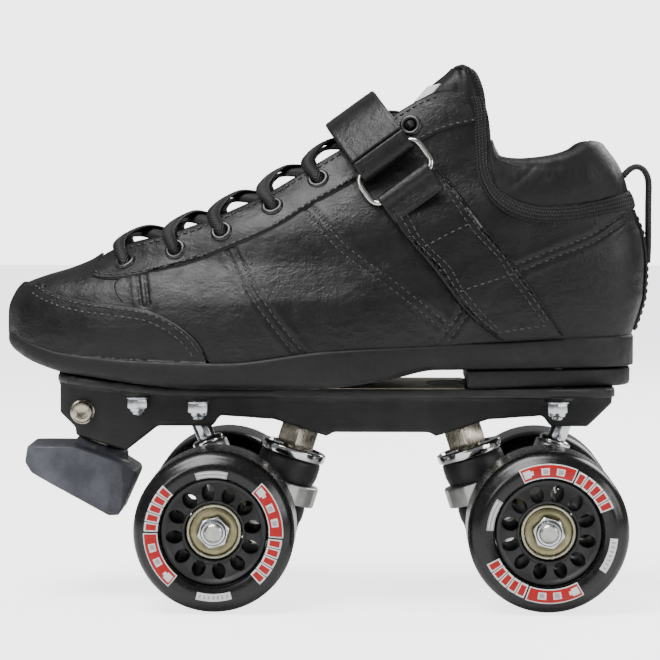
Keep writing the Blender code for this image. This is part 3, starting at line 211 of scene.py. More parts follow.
# The paper and the room look white, but light the skate only softly.
seen = world.node_tree.nodes.new("ShaderNodeLightPath").outputs["Is Camera Ray"]
brightness = world.node_tree.nodes.new("ShaderNodeMapRange")
brightness.inputs["To Min"].default_value = ROOM_LIGHT
brightness.inputs["To Max"].default_value = ROOM_WHITE
world.node_tree.links.new(seen, brightness.inputs["Value"])
world.node_tree.links.new(
    brightness.outputs["Result"], world.node_tree.nodes["Background"].inputs["Strength"]
)

floor_finish = finish_of("floor_paper", 0.9, Emission_Color=(1, 1, 1, 1))
seen = node(floor_finish, "ShaderNodeLightPath").outputs["Is Camera Ray"]
shader_link(floor_finish, "Emission Strength", between(floor_finish, seen, 0.0, FLOOR_GLOW, 0.0, 1.0))
shader_link(
    floor_finish,
    "Base Color",
    tint(
        floor_finish,
        blotches(floor_finish, place_on(floor_finish), 0.02),
        (0.9, 0.9, 0.9),
        (0.93, 0.93, 0.93),
    ),
)
bpy.ops.object.select_all(action="DESELECT")
bpy.ops.mesh.primitive_plane_add(size=8.0, location=(0, 0, -0.0004))
floor = bpy.context.object
floor.name = "floor"
bpy.ops.object.transform_apply(location=True)
floor.data.materials.append(floor_finish)

# ---------------------------------------------------------------------------------------------------------
# Wheels: poured black urethane tyres on moulded nylon hubs with twelve windows, each with printed bands on
# its face. Every wheel is made about local Z, with its face toward +Z, and then set on its axle.
# ---------------------------------------------------------------------------------------------------------

WHEEL_RADIUS = (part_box("front_outer_tyre")[1].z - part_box("front_outer_tyre")[0].z) / 2 / MM
WHEEL_HALF = 21.0
SHOULDER = 6.0
HUB_RADIUS = 20.8
HUB_HALF = 17.0
WINDOWS = 12
WINDOW_AT = 15.3
WINDOW_ACROSS = 5.2
WINDOW_LONG = 6.6
SIDES = 128
NAMES_OF_SIDES = {-1: "outer", 1: "inner"}
ENDS = {-1: "front", 1: "rear"}


def select_only(piece):
    bpy.ops.object.select_all(action="DESELECT")
    bpy.context.view_layer.objects.active = piece
    piece.select_set(True)


def finished(piece, material, angle=30.0):
    """Sets the piece's smooth shading and its only material, with the place moved into its mesh."""
    select_only(piece)
    bpy.ops.object.transform_apply(location=True, rotation=True, scale=True)
    bpy.ops.object.shade_smooth_by_angle(angle=math.radians(angle))
    piece.data.materials.clear()
    piece.data.materials.append(material)
    return piece


def apply_all(piece):
    select_only(piece)
    for modifier in list(piece.modifiers):
        bpy.ops.object.modifier_apply(modifier=modifier.name)


def bevelled(piece, width, segments=3, angle=30.0):
    """Rounds every edge sharper than angle."""
    modifier = piece.modifiers.new("bevel", "BEVEL")
    modifier.width = width * MM
    modifier.segments = segments
    modifier.limit_method = "ANGLE"
    modifier.angle_limit = math.radians(angle)
    modifier.harden_normals = False
    apply_all(piece)
    return piece


def lathe(name, profile, sides=SIDES):
    """A shape turned about Z: a circle at the first (radius, height), extruded through the others.

    A profile that starts off the axis comes back to its start, and one that starts on it ends on it.
    """
    bpy.ops.object.select_all(action="DESELECT")
    radius, height = profile[0]
    start = max(radius, 0.01)
    bpy.ops.mesh.primitive_circle_add(vertices=sides, radius=start * MM, location=(0, 0, height * MM))
    piece = bpy.context.object
    piece.name = name
    bpy.ops.object.transform_apply(location=True)
    bpy.ops.object.mode_set(mode="EDIT")
    ring = list(profile[1:]) + ([profile[0]] if radius > 0 else [])
    here = (start, height)
    for radius, height in ring:
        radius = max(radius, 0.01)
        bpy.ops.mesh.extrude_region_move(TRANSFORM_OT_translate={"value": (0, 0, (height - here[1]) * MM)})
        if radius != here[0]:
            share = radius / here[0]
            bpy.ops.transform.resize(value=(share, share, 1), center_override=(0, 0, height * MM))
        here = (radius, height)
    bpy.ops.mesh.select_all(action="SELECT")
    bpy.ops.mesh.remove_doubles(threshold=0.02 * MM)
    bpy.ops.mesh.select_all(action="DESELECT")
    bpy.ops.mesh.select_non_manifold()
    bpy.ops.mesh.edge_face_add()
    bpy.ops.mesh.select_all(action="SELECT")
    bpy.ops.mesh.normals_make_consistent(inside=False)
    bpy.ops.object.mode_set(mode="OBJECT")
    return piece


def standing(origin, up, side=(0, 1, 0)):
    """The matrix that stands local Z along up and keeps local Y as near to side as it can."""
    z = Vector(up).normalized()
    x = Vector(side).cross(z).normalized()
    turned = Matrix((x, z.cross(x), z)).transposed().to_4x4()
    return Matrix.Translation(Vector(origin) * MM) @ turned


def outward(piece):
    """Turns the piece's faces so that all of them point out."""
    select_only(piece)
    bpy.ops.object.mode_set(mode="EDIT")
    bpy.ops.mesh.select_all(action="SELECT")
    bpy.ops.mesh.normals_make_consistent(inside=False)
    bpy.ops.object.mode_set(mode="OBJECT")
    return piece


def put(piece, place):
    piece.matrix_world = place
    select_only(piece)
    bpy.ops.object.transform_apply(location=True, rotation=True, scale=True)
    return piece


def copied(piece, name, place):
    """Another piece of the same shape with a mesh of its own, standing at place."""
    twin = piece.copy()
    twin.data = piece.data.copy()
    twin.name = name
    bpy.context.scene.collection.objects.link(twin)
    return put(twin, place)


def joined(name, pieces):
    bpy.ops.object.select_all(action="DESELECT")
    for piece in pieces:
        piece.select_set(True)
    bpy.context.view_layer.objects.active = pieces[0]
    bpy.ops.object.join()
    pieces[0].name = name
    return pieces[0]


def carve(piece, cutter, operation="DIFFERENCE"):
    """Cuts the piece with a helper shape, which is then thrown away."""
    modifier = piece.modifiers.new("cut", "BOOLEAN")
    modifier.operation = operation
    modifier.object = cutter
    apply_all(piece)
    bpy.data.objects.remove(cutter, do_unlink=True)
    return piece


def prism(name, sides, across_flats, low, high):
    """A regular bar of so many sides, standing from low to high along Z."""
    bpy.ops.object.select_all(action="DESELECT")
    radius = across_flats / 2 / math.cos(math.pi / sides)
    bpy.ops.mesh.primitive_cylinder_add(
        vertices=sides,
        radius=radius * MM,
        depth=(high - low) * MM,
        location=(0, 0, (high + low) / 2 * MM),
    )
    piece = bpy.context.object
    piece.name = name
    bpy.ops.object.transform_apply(location=True)
    return piece


tyre_finish = mottled(
    "tyre_urethane",
    (0.003, 0.003, 0.003),
    (0.006, 0.006, 0.006),
    (0.2, 0.3),
    0.12,
    1.1,
    0.02,
    Specular_IOR_Level=0.55,
)
hub_finish = mottled(
    "hub_plastic", (0.014, 0.014, 0.0145), (0.022, 0.022, 0.023), (0.36, 0.5), 0.3, 2.4, 0.03
)


def face_height(radius):
    """How far out the tyre's printed face stands at a radius: it dishes in a little toward the hub."""
    toward_hub = 0.9 * max(0.0, (24.5 - radius) / 3.5) ** 2
    toward_tread = 1.1 * max(0.0, (radius - 25.0) / 3.0) ** 2
    return WHEEL_HALF - toward_hub - toward_tread


BORE = HUB_RADIUS + 0.15
tread_rings = [
    (WHEEL_RADIUS - SHOULDER * (1 - math.sin(a)), WHEEL_HALF - 1.0 - SHOULDER * (1 - math.cos(a)))
    for a in (math.radians(d) for d in (24, 36, 48, 60, 72, 82, 90))
]
face_rings = [(radius, face_height(radius)) for radius in (21.7, 22.4, 23.2, 24.2, 25.2, 26.2, 27.0)]
half_rings = [(BORE, WHEEL_HALF - 2.6), (BORE + 0.25, WHEEL_HALF - 1.7), *face_rings, *tread_rings]
tyre_profile = half_rings + [(radius, -height) for radius, height in reversed(half_rings)]
tyre = finished(lathe("tyre", tyre_profile), tyre_finish, 40)

hub_profile = [
    (11.35, HUB_HALF - 0.2),
    (11.6, HUB_HALF + 0.5),
    (12.3, HUB_HALF + 0.5),
    (12.6, HUB_HALF - 0.3),
    (18.4, HUB_HALF - 1.3),
    (19.2, HUB_HALF - 0.4),
    (20.2, HUB_HALF),
    (HUB_RADIUS - 0.15, HUB_HALF - 0.3),
]
hub = lathe("hub", hub_profile + [(radius, -height) for radius, height in reversed(hub_profile)], 96)
window_cutters = []
for i in range(WINDOWS):
    turn = 2 * math.pi * (i + 0.25) / WINDOWS
    window = prism("window", 24, WINDOW_ACROSS, -40, 40)
    window.scale = (WINDOW_LONG / WINDOW_ACROSS, 1, 1)
    window.rotation_euler = (0, 0, turn)
    window.location = (WINDOW_AT * MM * math.cos(turn), WINDOW_AT * MM * math.sin(turn), 0)
    window_cutters.append(window)
carve(hub, joined("window_cutters", window_cutters))
bevelled(hub, 0.45, 2, 38)
finished(hub, hub_finish, 40)

print_red = mottled("print_red", (0.42, 0.003, 0.005), (0.50, 0.005, 0.007), (0.42, 0.5), 0.5, 3.0, 0.01)
print_white = mottled("print_white", (0.74, 0.74, 0.74), (0.82, 0.82, 0.82), (0.3, 0.4), 0.5, 3.0, 0.01)
print_grey = mottled("print_grey", (0.36, 0.36, 0.37), (0.44, 0.44, 0.45), (0.3, 0.4), 0.5, 3.0, 0.01)
PRINT_MATERIALS = {"red": print_red, "white": print_white, "grey": print_grey}


def printed_band(inner, outer, start, end, lift):
    """Corners and faces of a thin band of ink on the tyre's face, between two radii and two angles."""
    steps = max(2, int(abs(end - start) / 2.5))
    rings = max(2, int((outer - inner) / 0.7))
    outline = [(inner + (outer - inner) * k / rings, lift) for k in range(rings + 1)]
    outline += [(radius, -0.3) for radius, _ in reversed(outline)]
    points, faces = [], []
    for i in range(steps + 1):
        turn = math.radians(start + (end - start) * i / steps)
        for radius, height in outline:
            spot = (radius * math.cos(turn), radius * math.sin(turn), face_height(radius) + height)
            points.append(Vector(spot) * MM)
    count = len(outline)
    for i in range(steps):
        for k in range(count):
            after = (k + 1) % count
            faces.append((i * count + k, i * count + after, (i + 1) * count + after, (i + 1) * count + k))
    faces += [tuple(range(count)), tuple(steps * count + k for k in reversed(range(count)))]
    return points, faces


def wheel_print(name):
    """Two red bands with white edges, each followed by five red blocks, and two small plain labels."""
    ink = []
    for turn in (0, 184):
        ink.append(("white", 21.6, 27.2, turn - 4, turn + 46, 0.05))
        ink.append(("red", 22.0, 26.8, turn - 3, turn + 45, 0.09))
        for middle, size in ((40.5, 1.5), (36.5, 0.8)):
            start, end = turn + middle - size * 2.2, turn + middle + size * 2.2
            ink.append(("white", 24.4 - size, 24.4 + size, start, end, 0.12))
        for middle in (24, 10):
            ink.append(("white", 22.9, 25.6, turn + middle - 4.2, turn + middle + 3.4, 0.12))
            ink.append(("grey", 23.3, 25.1, turn + middle - 3.0, turn + middle + 1.6, 0.14))
        for block in range(5):
            middle = turn - 9.5 - block * 8.6
            ink.append(("white", 21.5, 26.9, middle - 3.9, middle + 3.9, 0.06))
            ink.append(("red", 22.2, 26.2, middle - 2.7, middle + 2.7, 0.1))
    ink.append(("grey", 21.5, 24.3, 76, 107, 0.05))
    ink.append(("white", 22.0, 22.5, 78, 105, 0.08))
    ink.append(("white", 23.3, 23.8, 78, 105, 0.08))
    ink.append(("white", 23.6, 26.6, 255, 286, 0.05))
    for tick in range(7):
        ink.append(("grey", 24.4, 25.8, 257.5 + tick * 4, 259.0 + tick * 4, 0.08))
    points, faces, colours = [], [], []
    for colour, *band in ink:
        corners, quads = printed_band(*band)
        faces += [tuple(len(points) + i for i in quad) for quad in quads]
        colours += [list(PRINT_MATERIALS).index(colour)] * len(quads)
        points += corners
    mesh = bpy.data.meshes.new(name)
    mesh.from_pydata(points, [], faces)
    for material in PRINT_MATERIALS.values():
        mesh.materials.append(material)
    mesh.polygons.foreach_set("material_index", colours)
    piece = bpy.data.objects.new(name, mesh)
    bpy.context.scene.collection.objects.link(piece)
    outward(piece)
    return piece


ink = wheel_print("ink")

# ---------------------------------------------------------------------------------------------------------
# Bearings, axles and axle nuts: shielded steel bearings with a yellow zinc shield, held by a bright zinc lock
# nut on each end of a threaded steel axle.
# ---------------------------------------------------------------------------------------------------------

BEARING_RADIUS = 11.0
BEARING_HALF = 3.5
BEARING_AT = HUB_HALF - 2.0 - BEARING_HALF
AXLE_RADIUS = 3.5
NUT_ACROSS = 11.0
NUT_HEIGHT = 5.2
FLATS_SHARE = 0.72


def metal(name, dark, light, rough, grain=3.0, depth=0.02, stretch=(1, 1, 1)):
    """A metal with faint smears and fine marks, stretched along the way it was machined."""
    made = finish_of(name, rough[0], 1.0)
    where = place_on(made, scale=stretch)
    shader_link(made, "Base Color", tint(made, blotches(made, where, 0.25), dark, light))
    shader_link(made, "Roughness", between(made, blotches(made, where, 1.3), *rough))
    relief(made, blotches(made, where, grain, 4.0), depth)
    return made


race_steel = metal("bearing_race_steel", (0.42, 0.40, 0.30), (0.56, 0.54, 0.42), (0.22, 0.36))
shield_zinc = metal("yellow_zinc_shield", (0.30, 0.27, 0.15), (0.44, 0.40, 0.24), (0.3, 0.45))
bright_zinc = metal("bright_zinc", (0.62, 0.66, 0.70), (0.80, 0.83, 0.86), (0.14, 0.28), 4.0)
axle_steel = metal("axle_steel", (0.55, 0.54, 0.50), (0.70, 0.69, 0.64), (0.2, 0.34))


def bearing_piece():
    """Two steel rings with a dished shield between them on each face."""
    outside = [(9.6, -BEARING_HALF), (10.6, -BEARING_HALF), (BEARING_RADIUS, -BEARING_HALF + 0.4)]
    outside += [(BEARING_RADIUS, BEARING_HALF - 0.4), (10.6, BEARING_HALF), (9.6, BEARING_HALF)]
    outside += [(9.4, BEARING_HALF - 0.7), (9.4, -BEARING_HALF + 0.7)]
    outer = lathe("outer_race", outside, 64)
    inside = ((3.9, -1), (5.4, -1), (5.4, 1), (3.9, 1))
    inner = lathe("inner_race", [(radius, end * BEARING_HALF) for radius, end in inside], 48)
    dish = ((5.7, 0.9), (6.2, 0.55), (8.6, 0.35), (9.2, 0.7), (9.2, 1.3), (5.7, 1.3))
    shields = []
    for side in (-1, 1):
        shields.append(lathe("shield", [(radius, side * (BEARING_HALF - sunk)) for radius, sunk in dish], 64))
    for piece in (outer, inner):
        finished(bevelled(piece, 0.15, 2), race_steel, 40)
    for piece in shields:
        finished(piece, shield_zinc, 40)
    return joined("bearing", [outer, inner, *shields])


def lock_nut(name, across, height, bore):
    """A hexagon nut, chamfered by a cone, with a round collar round its locking insert."""
    flats = height * FLATS_SHARE
    nut = prism(name, 6, across, 0, flats)
    corner = across / 2 / math.cos(math.pi / 6)
    cone = [
        (0, -0.01),
        (across / 2 + 0.05, -0.01),
        (corner + 0.1, corner * 0.28 - across * 0.12),
        (corner + 0.1, flats - corner * 0.28 + across * 0.12),
        (across / 2 + 0.05, flats + 0.01),
        (0, flats + 0.01),
    ]
    carve(nut, lathe("cone", cone, 64), "INTERSECT")
    collar = [(bore, flats - 0.3), (across * 0.46, flats - 0.3), (across * 0.46, height - 0.8)]
    collar += [(across * 0.42, height - 0.1), (across * 0.36, height)]
    collar += [(across * 0.345, height - 0.4), (bore, height - 0.5)]
    carve(nut, lathe("collar", collar, 48), "UNION")
    carve(nut, lathe("bore", [(0, -1), (bore, -1), (bore, height + 1), (0, height + 1)], 32))
    return bevelled(nut, 0.18, 2, 35)


def threaded(name, radius, low, high, pitch, plain_to=None):
    """A round bar from low to high, with thread grooves above plain_to and a rounded end."""
    plain_to = high if plain_to is None else plain_to
    profile = [(0, low), (radius - 0.5, low), (radius, low + 0.5), (radius, plain_to)]
    height = plain_to
    while height + pitch < high - 0.6:
        profile += [(radius, height + pitch * 0.15), (radius - pitch * 0.5, height + pitch * 0.55)]
        profile += [(radius, height + pitch * 0.95)]
        height += pitch
    return lathe(name, profile + [(radius - 0.1, high - 0.5), (radius - 0.7, high), (0, high)], 40)


bearing = bearing_piece()
axle_nut = finished(lock_nut("axle_nut", NUT_ACROSS, NUT_HEIGHT, AXLE_RADIUS + 0.1), bright_zinc, 25)

for end, truck in ENDS.items():
    axle_low, axle_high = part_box(f"{truck}_axle")
    axle_centre = (axle_low + axle_high) / 2 / MM
    axle_reach = (axle_high.y - axle_low.y) / 2 / MM
    halves = []
    for side, where in NAMES_OF_SIDES.items():
        name = f"{truck}_{where}"
        body = f"{name}_wheel"
        low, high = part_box(f"{name}_tyre")
        centre = (low + high) / 2 / MM
        wheel_at = standing(centre, (0, side, 0), (0, 0, 1))
        twist = Matrix.Rotation(math.radians(70 if end > 0 else 0), 4, "Z")
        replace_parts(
            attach(copied(tyre, f"{name}_wheel_tyre", wheel_at), body),
            f"{name}_tyre",
        )
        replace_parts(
            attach(copied(hub, f"{name}_wheel_hub", wheel_at @ twist), body),
            f"{name}_hub",
        )
        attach(copied(ink, f"{name}_wheel_print", wheel_at @ twist), body)
        for place, offset in (("outer_bearing", BEARING_AT), ("inner_bearing", -BEARING_AT)):
            seat = standing(centre + Vector((0, side * offset, 0)), (0, side, 0), (0, 0, 1))
            shown = copied(bearing, f"{name}_{place}_races", seat)
            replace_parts(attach(shown, body), f"{name}_{place}")
        nut_low, nut_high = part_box(f"{name}_axle_nut")
        face = (nut_low.y if side > 0 else nut_high.y) / MM
        nut_at = standing((centre.x, face, centre.z), (0, side, 0), (0, 0, 1))
        shown = copied(axle_nut, f"{name}_lock_nut", nut_at @ Matrix.Rotation(math.radians(17 * end), 4, "Z"))
        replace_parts(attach(shown, f"{truck}_truck"), f"{name}_axle_nut")
        half_bar = threaded("half_axle", AXLE_RADIUS, 0, axle_reach, 0.9, axle_reach - 10)
        halves.append(put(half_bar, standing(axle_centre, (0, side, 0), (0, 0, 1))))
    bar = finished(joined(f"{truck}_axle_bar", halves), axle_steel, 35)
    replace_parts(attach(bar, f"{truck}_truck"), f"{truck}_axle")
for helper in (tyre, hub, ink, bearing, axle_nut):
    bpy.data.objects.remove(helper, do_unlink=True)

# ---------------------------------------------------------------------------------------------------------
# Trucks: a cast aluminium hanger held between two urethane cushions on a tilted kingpin. The kingpin's nickel
# hexagon stands on a chromed cup, and a second cup is part of the nut below. A stud from the plate steadies
# the hanger's other end.
# ---------------------------------------------------------------------------------------------------------

KINGPIN_TILT = math.radians(18.0)
CUP_INBOARD = 29.1
CUP_Z = 57.7
CUP_RADIUS = 13.5
KING_BORE = 5.3
HEX_ACROSS = 15.0
HEX_HEIGHT = 8.3
HEX_CHAMFER = 0.7
HEX_LOW = -2.3
CUSHIONS = {"upper": (2.3, 9.3, 12.7), "lower": (20.5, 8.4, 12.0)}
KINGPIN_NUT_TOP = 29.2
PIVOT_OUTBOARD = 10.9
PIVOT_Z = 74.5
PIVOT_TILT = math.radians(22.3)


def fresh_copy(source, name):
    """A new piece with a CAD node's shape, its loose triangles merged."""
    piece = bpy.data.objects.new(name, frame["nodes"][source].data.copy())
    bpy.context.scene.collection.objects.link(piece)
    select_only(piece)
    bpy.ops.object.mode_set(mode="EDIT")
    bpy.ops.mesh.select_all(action="SELECT")
    bpy.ops.mesh.remove_doubles(threshold=0.001 * MM)
    bpy.ops.object.mode_set(mode="OBJECT")
    return piece


def cast_copy(source, name, grain, passes):
    """A CAD node's shape with the soft edges of a casting or a moulding."""
    piece = fresh_copy(source, name)
    remesh = piece.modifiers.new("grain", "REMESH")
    remesh.mode = "VOXEL"
    remesh.voxel_size = grain * MM
    soften = piece.modifiers.new("soften", "SMOOTH")
    soften.factor = 0.5
    soften.iterations = passes
    apply_all(piece)
    return piece


cast_metal = metal("cast_aluminium", (0.50, 0.50, 0.49), (0.66, 0.66, 0.64), (0.3, 0.46), 1.6, 0.06)
warm_nickel = metal(
    "warm_nickel", (0.50, 0.45, 0.36), (0.66, 0.60, 0.50), (0.2, 0.34), 2.0, 0.03, (1, 1, 0.2)
)
chrome = metal("chrome", (0.72, 0.72, 0.71), (0.86, 0.86, 0.85), (0.06, 0.14), 4.0, 0.008)
cushion_finish = mottled(
    "cushion_urethane", (0.010, 0.010, 0.010), (0.020, 0.020, 0.020), (0.4, 0.58), 0.3, 2.0, 0.05
)


def hexagon(name, across, low, high):
    """A bright hexagon bar with its corners turned off at both ends."""
    corner = across / 2 / math.cos(math.pi / 6) + 0.1
    bar = prism(name, 6, across, low, high)
    cone = [(0, low - 0.01), (across / 2 - 0.1, low - 0.01), (corner, low + HEX_CHAMFER)]
    cone += [(corner, high - HEX_CHAMFER), (across / 2 - 0.1, high + 0.01), (0, high + 0.01)]
    carve(bar, lathe("cone", cone, 64), "INTERSECT")
    return bevelled(bar, 0.22, 2, 35)


for end, truck in ENDS.items():
    axle_low, axle_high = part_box(f"{truck}_axle")
    axle_x = (axle_low.x + axle_high.x) / 2 / MM
    king = standing(
        (axle_x - end * CUP_INBOARD, 0, CUP_Z), (end * math.sin(KINGPIN_TILT), 0, -math.cos(KINGPIN_TILT))
    )
    pivot = standing(
        (axle_x + end * PIVOT_OUTBOARD, 0, PIVOT_Z), (-end * math.sin(PIVOT_TILT), 0, -math.cos(PIVOT_TILT))
    )

    hanger = finished(cast_copy(f"{truck}_hanger", f"{truck}_cast_hanger", 0.6, 5), cast_metal, 60)
    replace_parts(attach(hanger, f"{truck}_truck"), f"{truck}_hanger")

    bolt = hexagon("kingpin_hexagon", HEX_ACROSS, HEX_LOW - HEX_HEIGHT, HEX_LOW)
    shank = threaded("kingpin_shank", 4.8, HEX_LOW - HEX_HEIGHT - 9, KINGPIN_NUT_TOP + 13, 1.2, 24)
    bolt = finished(put(joined(f"{truck}_kingpin_bolt", [bolt, shank]), king), warm_nickel, 30)
    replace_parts(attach(bolt, "skate"), f"{truck}_kingpin")

    rim = [(KING_BORE, -1.4), (10.6, -1.4), (11.4, -1.0), (11.9, -1.9), (12.7, -2.0), (CUP_RADIUS, -1.5)]
    rim += [(CUP_RADIUS, 1.2), (13.2, 1.8), (12.4, 2.0), (KING_BORE, 2.0)]
    cup = lathe(f"{truck}_cup", rim, 80)
    finished(put(bevelled(cup, 0.18, 2, 35), king), chrome, 40)
    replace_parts(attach(cup, "skate"), f"{truck}_upper_cup")

    for spot, (top, height, radius) in CUSHIONS.items():
        barrel = [(KING_BORE, top), (radius - 0.9, top), (radius - 0.3, top + 0.5), (radius, top + 2)]
        barrel += [(radius, top + height * 0.6), (radius - 0.5, top + height - 1)]
        barrel += [(radius - 1.0, top + height), (KING_BORE, top + height)]
        cushion = lathe(f"{truck}_{spot}_urethane", barrel, 72)
        finished(put(cushion, king), cushion_finish, 45)
        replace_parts(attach(cushion, "skate"), f"{truck}_{spot}_cushion")

    flange = KINGPIN_NUT_TOP + 4
    washer = lathe(
        "nut_flange",
        [
            (KING_BORE, KINGPIN_NUT_TOP),
            (11.3, KINGPIN_NUT_TOP),
            (11.3, KINGPIN_NUT_TOP + 2.4),
            (9.8, flange),
            (KING_BORE, flange),
        ],
        72,
    )
    nut = hexagon("nut_hexagon", 14.0, flange - 0.2, flange + 7.0)
    nut = joined(f"{truck}_kingpin_lock_nut", [bevelled(washer, 0.25, 2), nut])
    finished(put(nut, king), chrome, 35)
    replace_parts(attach(nut, "skate"), f"{truck}_kingpin_nut")

    ball = [(0, -4.2)]
    ball += [(4.2 * math.sin(a), -4.2 * math.cos(a)) for a in (math.radians(d) for d in range(15, 136, 15))]
    stud = lathe("pivot_ball", ball + [(2.9, 4.5), (3.6, 5.4), (3.6, 20.0), (0, 20.0)], 48)
    ribs = prism("pivot_ribs", 10, 7.5, 5.8, 12.6)
    stud = finished(
        put(joined(f"{truck}_pivot_stud", [stud, bevelled(ribs, 0.3, 2)]), pivot), bright_zinc, 30
    )
    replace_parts(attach(stud, f"{truck}_truck"), f"{truck}_pivot_pin")
    jam = lathe(
        "jam_washer", [(3.9, 12.6), (5.2, 12.6), (6.3, 13.2), (6.6, 14.0), (6.3, 14.9), (3.9, 14.9)], 48
    )
    jam = finished(put(jam, pivot), chrome, 45)
    jam.name = f"{truck}_pivot_washer"
    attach(jam, f"{truck}_truck")

# ---------------------------------------------------------------------------------------------------------
# Plate: a satin black moulded nylon deck on a deep spine. A thin tan metal sheet with three oval holes lies
# on the deck under the boot's arch: painted reflection standing in for the nylon deck's grazing sheen. Six
# bright bolts with lock nuts hold the boot down.
# ---------------------------------------------------------------------------------------------------------

DECK_TOP = 85.0
SHEET_THICKNESS = 0.22
SHEET_ENDS = (-24.0, 54.5)
SHEET_HALF_WIDTH = 32.6
HOLES = ((-6.0, 17.5, 34.0), (13.4, 9.6, 24.0), (48.0, 17.5, 34.0))

nylon = finish_of("moulded_nylon", 0.4, Specular_IOR_Level=0.45)
where = place_on(nylon)
shader_link(
    nylon,
    "Base Color",
    tint(nylon, blotches(nylon, where, 0.06, 5.0), (0.010, 0.010, 0.010), (0.024, 0.024, 0.023)),
)
shader_link(nylon, "Roughness", between(nylon, blotches(nylon, where, 0.16, 4.0), 0.34, 0.56))
flow = relief(nylon, blotches(nylon, place_on(nylon, scale=(0.3, 1, 1)), 0.5, 3.0), 0.12)
relief(nylon, blotches(nylon, where, 3.0, 2.0), 0.03, below=flow)

plate = finished(cast_copy("plate", "moulded_plate", 0.8, 3), nylon, 50)
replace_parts(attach(plate, "skate"), "plate")

# The sheet's tan metal colour is painted reflection: it stands in for white light grazing the black nylon
# deck, which has no such sheet.
deck_sheen_paint = metal("painted_deck_sheen", (0.56, 0.50, 0.40), (0.74, 0.68, 0.56), (0.3, 0.5), 1.2, 0.03)
sheet_middle = (SHEET_ENDS[0] + SHEET_ENDS[1]) / 2
bpy.ops.object.select_all(action="DESELECT")
bpy.ops.mesh.primitive_cube_add(
    size=1, location=(sheet_middle * MM, 0, (DECK_TOP + SHEET_THICKNESS / 2 + 0.01) * MM)
)
deck_sheen_sheet = bpy.context.object
deck_sheen_sheet.name = "deck_sheen_sheet"
deck_sheen_sheet.scale = ((SHEET_ENDS[1] - SHEET_ENDS[0]) * MM, 2 * SHEET_HALF_WIDTH * MM, SHEET_THICKNESS * MM)
bpy.ops.object.transform_apply(location=True, scale=True)
hole_cutters = []
for x, along, across in HOLES:
    hole = prism("hole", 48, 1.0, DECK_TOP - 3, DECK_TOP + 3)
    hole.scale = (along, across, 1)
    hole.location.x = x * MM
    hole_cutters.append(hole)
carve(deck_sheen_sheet, joined("holes", hole_cutters))
finished(deck_sheen_sheet, deck_sheen_paint, 30)
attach(deck_sheen_sheet, "skate")

BOLT_ACROSS = 7.6
BOLT_SEAT = 7.8
bolt_nut = joined(
    "bolt_nut",
    [
        put(
            lock_nut("nut", BOLT_ACROSS, 5.4, 2.4),
            Matrix.Rotation(math.pi, 4, "X") @ Matrix.Translation((0, 0, 0.9 * MM)),
        ),
        bevelled(lathe("washer", [(2.6, -0.9), (4.9, -0.9), (4.9, 0.0), (2.6, 0.0)], 40), 0.2, 2),
        put(threaded("bolt_end", 2.3, 0.0, 7.6, 0.7, 5.2), Matrix.Rotation(math.pi, 4, "X")),
        lathe("bolt_shank", [(0, 0.2), (2.3, 0.2), (2.3, 14.0), (0, 14.0)], 24),
    ],
)
finished(bolt_nut, bright_zinc, 30)
for spot in ("toe", "ball", "heel"):
    for where in NAMES_OF_SIDES.values():
        source = f"{spot}_{where}_mounting_bolt"
        low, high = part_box(source)
        seat_z = low.z / MM + BOLT_SEAT
        middle = ((low.x + high.x) / 2 / MM, (low.y + high.y) / 2 / MM, seat_z)
        shown = copied(bolt_nut, f"{spot}_{where}_lock_nut", Matrix.Translation(Vector(middle) * MM))
        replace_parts(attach(shown, "skate"), source)
bpy.data.objects.remove(bolt_nut, do_unlink=True)

# ---------------------------------------------------------------------------------------------------------
# Toe stop: a slate grey rubber block on a threaded steel stem, clamped in the plate's front housing by a
# socket-head screw.
# ---------------------------------------------------------------------------------------------------------

STEM_TILT = math.radians(17.0)
STEM_MOUTH = (-91.5, 0, 61.9)
SCREW_AT = (-99.0, -15.5, 74.5)

stop_rubber = finish_of("slate_rubber", 0.42, Specular_IOR_Level=0.45)
where = place_on(stop_rubber)
scuffs = blotches(stop_rubber, where, 0.09, 8.0, 0.65)
shader_link(
    stop_rubber,
    "Base Color",
    tint(stop_rubber, scuffs, (0.055, 0.057, 0.072), (0.125, 0.128, 0.152), 0.35, 0.68),
)
shader_link(stop_rubber, "Roughness", between(stop_rubber, blotches(stop_rubber, where, 0.3, 5.0), 0.32, 0.6))
dents = relief(stop_rubber, blotches(stop_rubber, where, 0.22, 4.0), 0.35)
relief(stop_rubber, blotches(stop_rubber, where, 2.6, 2.0), 0.05, below=dents)

stop = finished(cast_copy("toe_stop", "rubber_toe_stop", 0.55, 4), stop_rubber, 70)
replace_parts(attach(stop, "toe_stop"), "toe_stop")

stem_at = standing(STEM_MOUTH, (-math.sin(STEM_TILT), 0, -math.cos(STEM_TILT)))
stem = finished(
    put(threaded("toe_stop_threaded_stem", 7.5, -24.0, 10.0, 1.4, -24.0), stem_at), axle_steel, 35
)
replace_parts(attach(stem, "toe_stop"), "toe_stop_stem")

screw = lathe(
    "clamp_cap_screw",
    [
        (0, -8.5), (2.0, -8.5), (2.0, 0.3), (4.7, 0.3), (4.9, 0.8), (4.3, 1.0), (4.2, 3.6), (3.7, 4.2),
        (0, 4.2),
    ],
    56,
)
carve(screw, prism("hex_socket", 6, 3.6, 1.6, 6.0))
screw = finished(
    put(bevelled(screw, 0.16, 2, 35), standing(SCREW_AT, (0, -1, 0), (0, 0, 1))), warm_nickel, 35
)
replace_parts(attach(screw, "skate"), "toe_stop_clamp_screw")

# ---------------------------------------------------------------------------------------------------------
# The boot's shape. It is built over a last, so every panel lies on one smooth surface: at each height the
# section runs from the toe or instep ridge round the outer side to the heel, and back round the inner side.
# A place on it is (around, height): around is 0 at the front, 1 at the heel, and below 0 or above 1 inside.
# ---------------------------------------------------------------------------------------------------------

